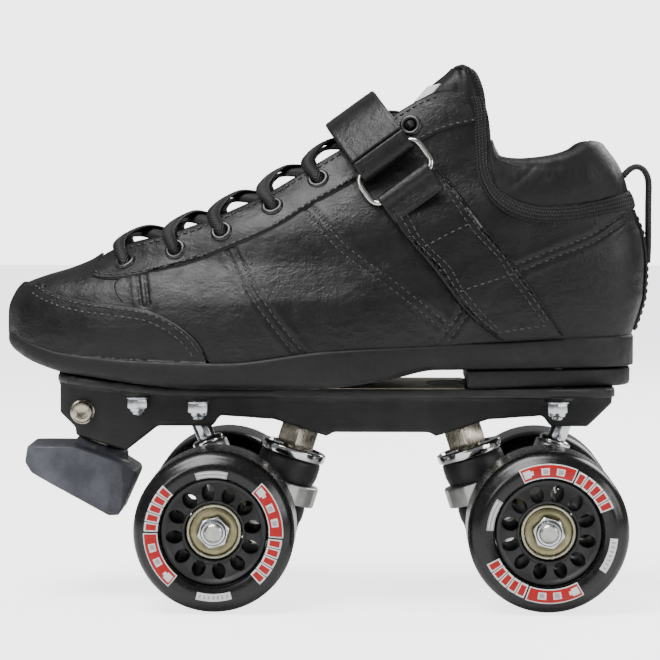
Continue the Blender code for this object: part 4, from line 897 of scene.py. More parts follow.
HALF_LENGTH = 130.5
FEATHER_KNOTS = (
    (-130, 106.7), (-118, 102.6), (-106, 99.5), (-75, 97.0), (-42, 96.3), (1, 101.2), (54, 103.3),
    (109, 106.0),
)
FRONT_KNOTS = (
    (96, -128.2), (108, -129.9), (115, -129.7), (121, -127.4), (125.5, -123.6), (129, -115.5),
    (132.4, -104.5), (135.8, -96.0), (140.6, -89.0), (146, -79.5), (151.5, -63.0), (158.5, -43.0),
    (166, -26.5), (174, -13.0), (182, 0.5), (190, 12.5), (200, 27.0), (208, 34.5), (218, 43.0), (228, 50.0),
)
BACK_KNOTS = (
    (96, 121.0), (106, 123.0), (115, 125.9), (122, 127.5), (134, 127.9), (145, 126.7), (154, 123.6),
    (163, 120.2), (173, 115.2), (183, 110.5), (228, 96.0),
)
BALL_KNOTS = (
    (96, 46.0), (108, 47.0), (118, 46.0), (128, 42.0), (136, 39.0), (150, 36.5), (160, 33.0), (170, 29.0),
    (182, 26.5), (200, 25.0), (228, 24.0),
)
HEEL_KNOTS = (
    (96, 34.5), (110, 35.0), (125, 34.0), (140, 31.5), (152, 30.0), (165, 31.0), (180, 33.0), (228, 33.0)
)
TOE_POWER = 2.6
BACK_POWER = 3.0


def through(knots):
    """The smooth curve through (place, value) knots, with no overshoot, as a function of places."""
    xs, ys = np.array(knots, float).T
    steps = np.diff(ys) / np.diff(xs)
    before, after = steps[:-1], steps[1:]
    same_way = before * after > 0
    inner = np.where(same_way, 2 * before * after / np.where(same_way, before + after, 1), 0)
    slopes = np.concatenate([steps[:1], inner, steps[-1:]])

    def read(x):
        x = np.clip(x, xs[0], xs[-1])
        i = np.clip(np.searchsorted(xs, x, side="right") - 1, 0, len(xs) - 2)
        width = xs[i + 1] - xs[i]
        t = (x - xs[i]) / width
        return (
            ys[i] * (1 + 2 * t) * (1 - t) ** 2
            + slopes[i] * width * t * (1 - t) ** 2
            + ys[i + 1] * t * t * (3 - 2 * t)
            + slopes[i + 1] * width * t * t * (t - 1)
        )

    return read


feather = through(FEATHER_KNOTS)
front_of = through(FRONT_KNOTS)
back_of = through(BACK_KNOTS)
ball_of = through(BALL_KNOTS)
heel_of = through(HEEL_KNOTS)


def ease(t):
    t = np.clip(t, 0, 1)
    return t * t * (3 - 2 * t)


def bend(x):
    """The foot's curve in plan: the toe leans to the inner side."""
    return 6.0 * ease((-30.0 - x) / 95.0) - 2.0 * ease((x + 60.0) / 40.0) * ease((60.0 - x) / 60.0)


def section(z, turn):
    """(x, half width) of the section at height z, for a turn of 0 at the front to 1 at the heel."""
    front, back, ball, heel = front_of(z), back_of(z), ball_of(z), heel_of(z)
    widest = 0.42 * front + 0.58 * back - 28.0 * ease((150.0 - z) / 50.0)
    angle = np.pi * turn
    cosine, sine = np.cos(angle), np.maximum(np.sin(angle), 0)
    fore = widest - (widest - front) * np.maximum(cosine, 0) ** (2 / TOE_POWER)
    along = np.maximum(-cosine, 0) ** (2 / BACK_POWER)
    aft = widest + (back - widest) * along
    ahead = turn <= 0.5
    x = np.where(ahead, fore, aft)
    fore_width = ball * sine ** (2 / TOE_POWER)
    aft_width = (ball + (heel - ball) * ease(along * 1.25)) * sine ** (2 / BACK_POWER)
    return x, np.where(ahead, fore_width, aft_width)


# The turn at each even share of the way round, worked out once for every millimetre of height.
TABLE_LOW = 92.0
table_heights = np.arange(TABLE_LOW, 231.0, 1.0)
fine_turns = np.linspace(0, 1, 1201)
table_x, table_width = section(table_heights[:, None], fine_turns[None, :])
runs = np.cumsum(np.hypot(np.diff(table_x, axis=1), np.diff(table_width, axis=1)), axis=1)
runs = np.concatenate([np.zeros((len(table_heights), 1)), runs], axis=1)
SHARES = 600
turn_table = np.array([np.interp(np.linspace(0, 1, SHARES + 1), run / run[-1], fine_turns) for run in runs])


def turn_at(share, z):
    column = np.clip(share, 0, 1) * SHARES
    row = np.clip(z - TABLE_LOW, 0, len(table_heights) - 1.001)
    i, j = np.minimum(column.astype(int), SHARES - 1), row.astype(int)
    s, t = column - i, row - j
    low = turn_table[j, i] * (1 - s) + turn_table[j, i + 1] * s
    high = turn_table[j + 1, i] * (1 - s) + turn_table[j + 1, i + 1] * s
    return low * (1 - t) + high * t


def boot_at(around, z):
    """Points on the boot in millimetres."""
    around, z = np.broadcast_arrays(np.asarray(around, float), np.asarray(z, float))
    around = np.mod(around + 1, 2) - 1
    side = np.where(around >= 0, -1.0, 1.0)
    x, width = section(z, turn_at(np.abs(around), z))
    return np.stack([x, bend(x) + side * width, z], axis=-1)


def boot_normal(around, z):
    across = boot_at(around + 0.0015, z) - boot_at(around - 0.0015, z)
    up = boot_at(around, z + 0.4) - boot_at(around, z - 0.4)
    normal = np.cross(across, up)
    return normal / np.maximum(np.linalg.norm(normal, axis=-1, keepdims=True), 1e-9)


def around_at(x, z):
    """The place on the outer side that stands at (x, z) in the side view."""
    x, z = np.asarray(x, float), np.asarray(z, float)
    low, high = np.zeros(x.shape), np.ones(x.shape)
    for _ in range(36):
        middle = (low + high) / 2
        behind = section(z, turn_at(middle, z))[0] < x
        low = np.where(behind, middle, low)
        high = np.where(behind, high, middle)
    return low


def drawn(points, count, spacing=None):
    """count points evenly along a smooth line through the given ones, of any dimension."""
    knots = np.array(points, float)
    padded = np.concatenate([2 * knots[:1] - knots[1:2], knots, 2 * knots[-1:] - knots[-2:-1]])
    t = np.linspace(0, 1, 24, endpoint=False)[:, None]
    line = []
    for b, s, e, a in zip(padded, padded[1:], padded[2:], padded[3:]):
        line.append(
            0.5 * (2 * s + (e - b) * t + (2 * b - 5 * s + 4 * e - a) * t**2 + (3 * s - b - 3 * e + a) * t**3)
        )
    line = np.concatenate(line + [knots[-1:]])
    run = np.concatenate([[0], np.cumsum(np.linalg.norm(np.diff(line, axis=0), axis=1))])
    if spacing is not None:
        count = max(2, int(round(run[-1] / spacing)) + 1)
    places = np.linspace(0, run[-1], count)
    return np.stack([np.interp(places, run, line[:, k]) for k in range(knots.shape[1])], axis=1)


def on_boot(points, count):
    """A side-view line of (x, z) points as (around, height) places on the outer side."""
    line = drawn(points, count)
    return np.stack([around_at(line[:, 0], line[:, 1]), line[:, 1]], axis=1)


def mesh_piece(name, points, faces, material, uv=None):
    """A smooth mesh from millimetre points. uv holds an (along, across) pair for each, in millimetres."""
    mesh = bpy.data.meshes.new(name)
    mesh.from_pydata((np.asarray(points) * MM).tolist(), [], faces)
    if uv is not None:
        layer = mesh.uv_layers.new(name="along_across")
        corners = np.zeros(len(mesh.loops), np.int32)
        mesh.loops.foreach_get("vertex_index", corners)
        layer.data.foreach_set("uv", np.asarray(uv, np.float32)[corners].ravel())
    mesh.materials.append(material)
    mesh.shade_smooth()
    piece = bpy.data.objects.new(name, mesh)
    bpy.context.scene.collection.objects.link(piece)
    return outward(piece)


def looped(rings, ring_uv, name, material, closed=False):
    """Joins rings of the same count of points into a closed skin, with its ends filled."""
    count, levels = len(rings[0]), len(rings)
    points = np.concatenate(rings)
    faces = []
    for k in range(levels if closed else levels - 1):
        low, high = k * count, (k + 1) % levels * count
        faces += [(low + i, low + (i + 1) % count, high + (i + 1) % count, high + i) for i in range(count)]
    if not closed:
        faces += [tuple(range(count)), tuple(range((levels - 1) * count, levels * count))]
    return mesh_piece(name, points, faces, material, np.concatenate(ring_uv))


def panel(name, low, high, rows, material, lift=None):
    """A padded or flat panel between two lines of (around, height) places.

    rows goes once round the panel's section: (share of the way up, millimetres more, height off the boot, how
    much of lift it takes). lift gives a height to add at each (around, height).
    """
    low, high = np.asarray(low), np.asarray(high)
    span = np.linalg.norm(boot_at(high[:, 0], high[:, 1]) - boot_at(low[:, 0], low[:, 1]), axis=1)
    middle = boot_at((low[:, 0] + high[:, 0]) / 2, (low[:, 1] + high[:, 1]) / 2)
    run = np.concatenate([[0], np.cumsum(np.linalg.norm(np.diff(middle, axis=0), axis=1))])
    columns, marks = [], []
    for share, more, off, takes in rows:
        v = np.clip(share + more / np.maximum(span, 4.0), 0, 1)
        around = low[:, 0] + (high[:, 0] - low[:, 0]) * v
        z = low[:, 1] + (high[:, 1] - low[:, 1]) * v
        height = np.full(len(v), float(off))
        if lift is not None and takes:
            height = height + takes * lift(around, z)
        columns.append(boot_at(around, z) + boot_normal(around, z) * height[:, None])
        marks.append(np.stack([run, v * span], axis=1))
    rings = np.stack(columns, axis=1)
    ring_uv = np.stack(marks, axis=1)
    return looped(list(rings), list(ring_uv), name, material)


def leather_rows(count, thick, base=0.0, roll=1.0):
    """Rows for a leather panel: a flat back at base, and a face that much higher with rolled edges."""
    edge = [
        (0, 0, 0.0), (0, 0.12 * roll, 0.45), (0, 0.4 * roll, 0.8), (0, 0.9 * roll, 0.96), (0, 1.8 * roll, 1.0)
    ]
    face = [(share, more, base + thick * off, off) for share, more, off in edge]
    face += [(k / count, 0, base + thick, 1.0) for k in range(1, count)]
    face += [(1, -more, base + thick * off, off) for share, more, off in reversed(edge)]
    back = [(1 - k / 6, 0, base - 0.05, 0.0) for k in range(1, 6)]
    return face + back


# ---------------------------------------------------------------------------------------------------------
# Sole: a moulded black rubber outsole, arched under the instep, with a separate heel lift below it.
# ---------------------------------------------------------------------------------------------------------

SOLE_BOTTOM_KNOTS = (
    (-130.5, 99.5), (-118, 94.0), (-106, 90.6), (-90, 87.4), (-70, 85.7), (-50, 85.3), (-8, 85.3), (22, 88.5),
    (44, 92.7), (124, 92.7),
)
SOLE_LOWER_EDGE = (
    (44, 0), (34, 0), (24, 0), (13, 0), (7, 0.1), (3, 0.5), (1.3, 1.3), (0.35, 2.4), (0, 3.6),
)
SOLE_UPPER_EDGE = (
    (0.0, 3.0), (0.0, 1.3), (0.25, 0.7), (0.8, 0.35), (1.6, 0.2), (3.0, 0.3), (4.5, 0.4), (20, 0.4),
    (44, 0.4),
)
SOLE_PLAN_Z = 104.0
SOLE_FLANGE = 1.3
SOLE_REAR_FLANGE = 0.6
HEEL_BLOCK_FRONT = 55.0
HEEL_BLOCK_INSET = 1.2
HEEL_BLOCK_TOP = 92.4
sole_floor = through(SOLE_BOTTOM_KNOTS)

sole_rubber = finish_of("sole_rubber", 0.55, Specular_IOR_Level=0.4)
where = place_on(sole_rubber)
shader_link(
    sole_rubber,
    "Base Color",
    tint(sole_rubber, blotches(sole_rubber, where, 0.05, 5.0), (0.006, 0.006, 0.006), (0.013, 0.013, 0.013)),
)
shader_link(
    sole_rubber, "Roughness", between(sole_rubber, blotches(sole_rubber, where, 0.4, 4.0), 0.42, 0.66)
)
waves = relief(sole_rubber, blotches(sole_rubber, where, 0.12, 3.0), 0.25)
relief(sole_rubber, blotches(sole_rubber, where, 2.8, 2.0), 0.05, below=waves)


def deck_top(x):
    rise = 5.5 * ease((-50.0 - x) / 59.0 * 0.75) / ease(0.75)
    return DECK_TOP + np.where(np.asarray(x) > -121, rise, -20)


def sole_ring(inset, height, count=200):
    """The sole's outline moved in by inset, at a height that may follow x."""
    around = np.linspace(0, 2, count, endpoint=False)
    flat = boot_at(around, SOLE_PLAN_Z)
    side = np.where(around <= 1, -1.0, 1.0)
    front, back = front_of(SOLE_PLAN_Z), back_of(SOLE_PLAN_Z)
    middle = (front + back) / 2
    x, width = flat[:, 0], np.abs(flat[:, 1] - bend(flat[:, 0]))
    fore = (HALF_LENGTH + middle - inset) / (middle - front)
    aft = (back + SOLE_REAR_FLANGE - inset - middle) / (back - middle)
    x = middle + (x - middle) * np.where(x < middle, fore, aft)
    width = np.maximum(width + SOLE_FLANGE * np.minimum(1, width / 6) - inset, 0)
    return np.stack([x, bend(x) + side * width, height(x)], axis=1)


def flat_uv(rings):
    return [ring[:, :2] for ring in rings]


def underside(x):
    return np.maximum(sole_floor(x), deck_top(x) + 0.3)


def lower_edge(x, rise):
    """A height in the sole's rounded lower edge, which is nearly square over the heel lift."""
    return underside(x) + rise * (1 - 0.72 * ease((x - 36.0) / 12.0))


sole_rings = [
    sole_ring(inset, lambda x, rise=rise: lower_edge(x, rise)) for inset, rise in SOLE_LOWER_EDGE
]
sole_rings += [
    sole_ring(inset, lambda x, drop=drop: feather(x) - drop) for inset, drop in SOLE_UPPER_EDGE
]
outsole = looped(sole_rings, flat_uv(sole_rings), "moulded_outsole", sole_rubber)
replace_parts(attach(outsole, "skate"), "outsole")


def heel_ring(inset, z):
    """The sole's outline behind the heel lift's front edge, closed straight across."""
    ring = sole_ring(inset + HEEL_BLOCK_INSET, lambda x: np.full(len(x), float(z)), 900)
    ring = ring[ring[:, 0] >= HEEL_BLOCK_FRONT + inset]
    run = np.concatenate([[0], np.cumsum(np.linalg.norm(np.diff(ring, axis=0), axis=1))])
    places = np.linspace(0, run[-1], 140)
    arc = np.stack([np.interp(places, run, ring[:, k]) for k in range(3)], axis=1)
    across = np.linspace(0, 1, 14)[1:-1, None]
    return np.concatenate([arc, arc[-1] + (arc[0] - arc[-1]) * across])


lift_rings = [
    heel_ring(inset, z)
    for inset, z in (
        (20, DECK_TOP + 0.3), (1.4, DECK_TOP + 0.3), (0.5, DECK_TOP + 0.7), (0.1, DECK_TOP + 1.6),
        (0, HEEL_BLOCK_TOP - 0.8), (0.15, HEEL_BLOCK_TOP - 0.3), (0.5, HEEL_BLOCK_TOP), (20, HEEL_BLOCK_TOP),
    )
]
heel_block = looped(lift_rings, flat_uv(lift_rings), "moulded_heel_lift", sole_rubber)
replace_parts(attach(heel_block, "skate"), "heel_lift")

# ---------------------------------------------------------------------------------------------------------
# Upper: black grain leather panels, lasted and sewn with polished thread. The toe cap and the eyestays lie
# over the vamp and the quarters, and double rows of stitches run along every seam.
# ---------------------------------------------------------------------------------------------------------

TOE_SEAM = (
    (-46.3, 95.5), (-48.5, 101.0), (-52.9, 106.7), (-60.4, 112.3), (-70.4, 116.6), (-84.0, 118.4),
    (-97.6, 120.0), (-109.0, 122.6), (-117.0, 126.2),
)
EYESTAY_LOW = (
    (-94.0, 129.4), (-88.5, 128.3), (-82.7, 128.4), (-74.5, 129.6), (-65.0, 131.9), (-53.2, 135.0),
    (-38.9, 140.5), (-21.4, 148.2), (-6.4, 157.4), (11.1, 167.4), (37.6, 183.2), (47.6, 187.8), (60.0, 190.6),
)
THROAT = (
    (-94.0, 131.0), (-91.6, 135.4), (-88.0, 138.6), (-80.0, 142.0), (-60.0, 147.0), (-41.0, 154.0),
    (-21.5, 163.7), (-2.5, 175.0), (16.5, 187.2), (36.0, 199.5), (45.0, 203.6), (54.0, 203.0),
)
EYELETS = (
    (-80.8, 134.7), (-60.3, 139.8), (-41.8, 147.0), (-21.8, 156.9), (-3.6, 167.7), (14.7, 178.5),
    (33.0, 189.2),
)
COLLAR_LOW = (
    (58.0, 196.0), (58.2, 190.0), (58.6, 181.0), (59.6, 169.1), (64.2, 159.9), (71.7, 154.1), (82.5, 151.2),
    (95.0, 151.2), (106.4, 153.1), (119.2, 155.4),
)
COLLAR_HIGH = (
    (63.0, 196.0), (64.2, 190.0), (65.0, 180.0), (65.4, 169.3), (70.0, 162.4), (80.9, 158.2), (92.6, 158.2),
    (105.4, 159.8), (118.0, 162.6),
)
SEAMS = (
    ((-73.7, 129.6), (-72.0, 119.5)),
    ((-38.2, 140.4), (-28.7, 123.5), (-18.5, 109.5), (-9.6, 98.5)),
    ((-7.1, 156.2), (6.2, 141.0), (23.6, 128.4), (36.0, 118.8), (48.5, 108.6)),
    ((54.6, 116.6), (49.0, 108.6), (43.6, 101.8)),
)
HEEL_SEAM = ((74.1, 132.5), (90.8, 139.1), (105.3, 144.6), (118.6, 152.9))
PITCH = 3.0

leather = finish_of("grain_leather", 0.4, Specular_IOR_Level=0.42)
where = place_on(leather)
shader_link(
    leather,
    "Base Color",
    tint(leather, blotches(leather, where, 0.05, 6.0), (0.0030, 0.0030, 0.0032), (0.0070, 0.0070, 0.0073)),
)
cells = node(
    leather, "ShaderNodeTexVoronoi", {"feature": "SMOOTH_F1"}, Vector=where, Scale=1.15, Randomness=1.0
)
fine = blotches(leather, where, 1.8, 6.0, 0.6)
sheen = node(leather, "ShaderNodeMath", {"operation": "ADD"}, _0=fine, _1=blotches(leather, where, 0.12, 4.0))
shader_link(leather, "Roughness", between(leather, sheen.outputs[0], 0.32, 0.52, 0.7, 1.3))
folds = relief(leather, blotches(leather, place_on(leather, scale=(1, 1, 1.6)), 0.16, 3.0), 0.5)
pores = relief(leather, cells.outputs["Distance"], 0.10, 0.75, below=folds)
relief(leather, fine, 0.09, 0.8, below=pores)

thread = finish_of("polished_thread", 0.32, Specular_IOR_Level=0.8)
where = place_on(thread)
shader_link(
    thread,
    "Base Color",
    tint(thread, blotches(thread, where, 1.1), (0.010, 0.010, 0.010), (0.05, 0.05, 0.05), 0.45, 0.7),
)
relief(thread, blotches(thread, where, 6.0), 0.05)


def distance_to(line, around, z):
    """How far each place lies from a side-view line, in millimetres of the side view."""
    x = boot_at(around, z)[..., 0]
    best = np.full(np.shape(x), 1e9)
    for (x0, z0), (x1, z1) in zip(line, line[1:]):
        along = np.array((x1 - x0, z1 - z0))
        t = np.clip(((x - x0) * along[0] + (z - z0) * along[1]) / along.dot(along), 0, 1)
        best = np.minimum(best, np.hypot(x - x0 - t * along[0], z - z0 - t * along[1]))
    return best


SEAM_LINES = [drawn(seam, 24) for seam in (*SEAMS, HEEL_SEAM)]


def seam_relief(around, z):
    """Double seams: a sunk row of stitches on each side of a low ridge, in gently uneven leather."""
    height = np.zeros(np.shape(around))
    for line in SEAM_LINES:
        away = distance_to(line, around, z)
        height += 0.28 * np.exp(-((away / 0.9) ** 2)) - 0.42 * np.exp(-(((away - 1.5) / 0.5) ** 2))
        height += 0.30 * np.exp(-(((away - 3.6) / 1.5) ** 2))
    points = boot_at(around, z)
    puff = [noise.noise(Vector(point) * 0.045) for point in points]
    return height + 0.45 * np.array(puff)


def soft_relief(around, z):
    points = boot_at(around, z)
    return np.array([0.4 * noise.noise(Vector(point) * 0.05) for point in points])


TOE_COLUMNS = 300
seam_line = on_boot(TOE_SEAM, 120)
seam_all = np.concatenate([seam_line * (-1, 1), seam_line[::-1]])
order = np.argsort(seam_all[:, 0])
toe_high = drawn(seam_all[order][::6], TOE_COLUMNS)
toe_low = np.stack([toe_high[:, 0], feather(boot_at(toe_high[:, 0], toe_high[:, 1])[:, 0]) - 1.4], axis=1)
toe_cap = panel("leather_toe_cap", toe_low, toe_high, leather_rows(34, 1.1), leather, soft_relief)
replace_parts(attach(toe_cap, "skate"), "toe_cap")

VAMP_COLUMNS = 260
VAMP_HIGH = ((-73.2, 132.5), (-82.0, 132.0), (-90.0, 132.6), (-93.6, 134.2))
vamp_line = on_boot(VAMP_HIGH, 40)
vamp_line = np.concatenate([vamp_line, [(0.02, 138.4), (0.0, 138.8)]])
vamp_high = drawn(np.concatenate([vamp_line * (-1, 1), vamp_line[-2::-1]])[::3], VAMP_COLUMNS)
vamp_round = np.interp(np.linspace(0, 1, VAMP_COLUMNS), np.linspace(0, 1, TOE_COLUMNS), toe_high[:, 0])
vamp_round *= around_at(-72.0, 114.0) / np.abs(vamp_round).max()
vamp_low = np.stack([vamp_round, np.interp(vamp_round, toe_high[:, 0], toe_high[:, 1]) - 3.0], axis=1)
vamp = panel("leather_vamp", vamp_low, vamp_high, leather_rows(40, 0.7, -0.8), leather, soft_relief)
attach(vamp, "skate")

QUARTER_LOW = ((-75.0, 113.5), (-66.0, 112.0), (-58.0, 107.0), (-50.0, 99.5), (-44.5, 94.8))
QUARTER_HIGH = (
    (-77.0, 132.4), (-65.0, 135.0), (-53.2, 138.0), (-38.9, 143.5), (-21.4, 151.2), (-6.4, 160.4),
    (11.1, 170.4), (37.6, 186.2), (47.6, 190.8), (56.0, 193.0), (59.5, 190.0), (61.5, 180.5), (62.4, 169.3),
    (67.0, 161.2), (76.3, 156.4), (87.5, 154.7), (100.2, 155.5), (112.0, 158.0),
)
COLUMNS = 330
HEEL_COLUMNS = 30
QUARTER_BACK = (1.0, 160.0)
shell_high = on_boot(QUARTER_HIGH, COLUMNS - HEEL_COLUMNS)
shell_high = np.concatenate([shell_high, np.linspace(shell_high[-1], QUARTER_BACK, HEEL_COLUMNS + 1)[1:]])
sole_x = np.linspace(-44.0, 112.0, 150)
low_line = np.concatenate([np.array(QUARTER_LOW), np.stack([sole_x, feather(sole_x) - 1.6], axis=1)])
low_places = np.stack([around_at(low_line[:, 0], low_line[:, 1]), low_line[:, 1]], axis=1)
heel_shares = np.linspace(low_places[-1, 0], 1.0, 20)[1:]
low_places = np.concatenate([low_places, [(share, feather(114.0) - 1.6) for share in heel_shares]])
shell_low = drawn(low_places * (240, 1), COLUMNS) / (240, 1)
for side, where in NAMES_OF_SIDES.items():
    mirror = (-side, 1)
    shell = panel(
        f"{where}_leather_quarter",
        shell_low * mirror,
        shell_high * mirror,
        leather_rows(90, 1.0, -1.0, 0.5),
        leather,
        seam_relief,
    )
    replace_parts(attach(shell, "skate"), f"{where}_quarter")
    stay_low, stay_high = on_boot(EYESTAY_LOW, 260), on_boot(THROAT, 260)
    stay = panel(
        f"{where}_eyestay",
        stay_low * mirror,
        stay_high * mirror,
        leather_rows(26, 1.5, -0.6, 1.3),
        leather,
        soft_relief,
    )
    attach(stay, "skate")

# Stitches stand a little proud at each end of a straight run of thread and dip into the leather between runs.
STITCH_LONG = 2.2
STITCH_RADIUS = 0.34
STITCH_PROUD = 0.1


def beside(line, away):
    """A side-view line moved sideways by away millimetres."""
    line = np.array(line)
    along = np.gradient(line, axis=0)
    along /= np.linalg.norm(along, axis=1, keepdims=True)
    return line + np.stack([-along[:, 1], along[:, 0]], axis=1) * away


def stitches(name, runs):
    """Thread along runs of (points, normals), one straight stitch for every PITCH millimetres."""
    shape = [(-0.5, 0.2, -0.5), (-0.3, 0.9, 0.05), (0.0, 1.0, 0.25), (0.3, 0.9, 0.05), (0.5, 0.2, -0.5)]
    points, faces = [], []
    for line, normals in runs:
        step = np.linalg.norm(np.diff(line, axis=0), axis=1)
        run = np.concatenate([[0], np.cumsum(step)])
        for start in np.arange(0.4, run[-1] - STITCH_LONG, PITCH):
            places = [start + (0.5 + share) * STITCH_LONG for share, _, _ in shape]
            spots = [np.array([np.interp(place, run, line[:, k]) for k in range(3)]) for place in places]
            normal = np.array([np.interp(start + STITCH_LONG / 2, run, normals[:, k]) for k in range(3)])
            along = spots[-1] - spots[0]
            along /= np.linalg.norm(along)
            side = np.cross(along, normal)
            first = len(points)
            for spot, (_, wide, rise) in zip(spots, shape):
                middle = spot + normal * (STITCH_PROUD + rise * STITCH_RADIUS)
                for k in range(6):
                    turn = math.pi * k / 3
                    out = side * math.cos(turn) + normal * math.sin(turn)
                    points.append(middle + out * STITCH_RADIUS * wide)
            for ring in range(len(shape) - 1):
                low = first + ring * 6
                faces += [(low + k, low + (k + 1) % 6, low + 6 + (k + 1) % 6, low + 6 + k) for k in range(6)]
            faces += [tuple(first + k for k in range(6)), tuple(first + 24 + k for k in range(6))]
    return mesh_piece(name, np.array(points), faces, thread)


def sewn_row(line, side, base, lift=None, away=0.0):
    """A row of stitch places on one side of the boot, on top of leather that stands base above the last."""
    line = beside(drawn(line, None, spacing=1.5), away)
    around, z = around_at(line[:, 0], line[:, 1]), line[:, 1]
    around = around * -side
    height = base + (lift(around, z) if lift is not None else 0)
    normals = boot_normal(around, z)
    return boot_at(around, z) + normals * np.reshape(height, (-1, 1)), normals


for side, where in NAMES_OF_SIDES.items():
    runs = []
    for seam in (*SEAMS, HEEL_SEAM):
        for away in (-1.5, 1.5):
            runs.append(sewn_row(seam, side, 0.0, seam_relief, away))
    runs.append(sewn_row(EYESTAY_LOW, side, 0.95, soft_relief, 1.3))
    runs.append(sewn_row(THROAT[3:-1], side, 0.95, soft_relief, -2.0))
    for away in (1.6, 4.4):
        runs.append(sewn_row(TOE_SEAM[1:], side, 1.1, soft_relief, away))
    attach(stitches(f"{where}_upper_stitching", runs), "skate")

# ---------------------------------------------------------------------------------------------------------
# Eyelets, back stay and edging: fourteen black rings, a strip over the heel seam, and a woven tape that
# binds the quarters where the padded collar begins.
# ---------------------------------------------------------------------------------------------------------

enamel = mottled(
    "black_enamel",
    (0.010, 0.010, 0.010),
    (0.022, 0.022, 0.022),
    (0.22, 0.36),
    0.4,
    3.0,
    0.01,
    Specular_IOR_Level=0.7,
)
# Near-black matte discs fill each eyelet ring as painted shade, standing in for the dark inside of the holes.
shade = finish_of("painted_eyelet_shade", 1.0, Specular_IOR_Level=0.0)
shader_link(
    shade,
    "Base Color",
    tint(shade, blotches(shade, place_on(shade), 1.0), (0.001, 0.001, 0.001), (0.002, 0.002, 0.002)),
)
RING_PROFILE = (
    (2.3, 1.0), (2.5, 1.5), (2.9, 1.85), (3.5, 1.95), (4.1, 1.7), (4.45, 1.2), (4.5, 0.2), (2.3, 0.2)
)


def round_about(centre, normal, profile, name, material, count=32):
    """A shape turned about normal at centre, from (radius, height) places."""
    up = Vector(normal).normalized()
    first = up.orthogonal().normalized()
    second = up.cross(first)
    rings = []
    for k in range(count):
        turn = 2 * math.pi * k / count
        out = first * math.cos(turn) + second * math.sin(turn)
        rings.append(np.array([Vector(centre) + out * radius + up * height for radius, height in profile]))
    uv = [np.stack([np.full(len(profile), k), np.arange(len(profile))], axis=1) for k in range(count)]
    return looped(rings, uv, name, material, closed=True)


def on_upper(x, z, side, height=0.0):
    """(point, normal) on one side of the boot, where it shows at (x, z)."""
    around = around_at(np.array([float(x)]), np.array([float(z)])) * -side
    normal = boot_normal(around, np.array([float(z)]))[0]
    return boot_at(around, np.array([float(z)]))[0] + normal * height, normal


for side, where in NAMES_OF_SIDES.items():
    rings, holes = [], []
    for x, z in EYELETS:
        spot, normal = on_upper(x, z, side)
        rings.append(round_about(spot, normal, RING_PROFILE, "eyelet", enamel))
        holes.append(
            round_about(spot, normal, ((0.01, 1.2), (2.5, 1.2), (2.5, 0.5), (0.01, 0.5)), "hole", shade, 20)
        )
    eyelets = joined(f"{where}_eyelets", rings)
    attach(finished(eyelets, enamel, 50), "skate")
    dark = joined(f"{where}_eyelet_shade_discs", holes)
    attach(finished(dark, shade, 30), "skate")


def round_the_heel(line):
    """Places from a line's end on the outer side, round the heel, to its mirror on the inner side."""
    back = line[::-1] * (-1, 1) + (2, 0)
    return np.concatenate([line, back[1:]]) if line[-1, 0] > 0.999 else np.concatenate([line, back])


def heelward(points, top, count=120):
    """A side-view line as places, carried on round to the middle of the heel at height top."""
    line = on_boot(points, count)
    more = np.linspace(0, 1, 24)[1:, None]
    tail = line[-1] + (np.array([1.0, top]) - line[-1]) * more
    tail[:, 1] = line[-1, 1] + (top - line[-1, 1]) * ease(more[:, 0])
    return np.concatenate([line, tail])


def weave(name, pitch_along, pitch_across, slant, depth, dark, light, rough):
    """Woven threads on a piece's own UV map, in millimetres: ribs that lean by slant from the middle. The
    colour goes from dark to light with the same wave that raises the ribs, so the grooves carry painted
    shade.
    """
    made = finish_of(name, rough, Specular_IOR_Level=0.35)
    where = place_on(made, "UV")
    parts = node(made, "ShaderNodeSeparateXYZ", Vector=where)
    across = node(made, "ShaderNodeMath", {"operation": "ABSOLUTE"}, _0=parts.outputs["Y"])
    lean = node(
        made,
        "ShaderNodeMath",
        {"operation": "MULTIPLY_ADD"},
        _0=across.outputs[0],
        _1=slant,
        _2=parts.outputs["X"],
    )
    ribs = node(
        made, "ShaderNodeMath", {"operation": "MULTIPLY"}, _0=lean.outputs[0], _1=2 * math.pi / pitch_along
    )
    ribs = node(made, "ShaderNodeMath", {"operation": "SINE"}, _0=ribs.outputs[0])
    rows = node(
        made,
        "ShaderNodeMath",
        {"operation": "MULTIPLY"},
        _0=parts.outputs["Y"],
        _1=2 * math.pi / pitch_across,
    )
    rows = node(made, "ShaderNodeMath", {"operation": "COSINE"}, _0=rows.outputs[0])
    both = node(
        made, "ShaderNodeMath", {"operation": "MULTIPLY_ADD"}, _0=ribs.outputs[0], _1=0.5, _2=rows.outputs[0]
    )
    # Painted shade: the colour follows the rib height, darkest in the grooves between the threads.
    colour = tint(made, both.outputs[0], dark, light, -0.9, 1.3)
    shader_link(made, "Base Color", colour)
    woven = relief(made, both.outputs[0], depth)
    relief(made, blotches(made, where, 5.0, 3.0), 0.05, below=woven)
    return made


tape = weave("woven_tape", 1.15, 1.5, 0.0, 0.22, (0.004, 0.004, 0.004), (0.022, 0.022, 0.023), 0.62)
braid = weave("herringbone_braid", 1.25, 5.2, 0.9, 0.26, (0.005, 0.005, 0.005), (0.030, 0.030, 0.031), 0.6)

binding_low = round_the_heel(heelward(((56.8, 200.6),) + COLLAR_LOW, 156.4))
binding_high = round_the_heel(heelward(((61.0, 200.6),) + COLLAR_HIGH, 163.6))
tape_rows = [(0, 0, -0.3, 0), (0, 0.05, 0.7, 0.3), (0, 0.5, 1.15, 0.5)]
tape_rows += [(k / 10, 0, 1.25 + 0.55 * math.sin(math.pi * k / 10), 0.6) for k in range(1, 10)]
tape_rows += [
    (1, -0.5, 1.15, 0.5), (1, -0.05, 0.7, 0.3), (1, 0, -0.3, 0), (0.66, 0, -0.35, 0), (0.33, 0, -0.35, 0)
]
binding = panel("collar_binding", binding_low, binding_high, tape_rows, tape, soft_relief)
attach(binding, "skate")

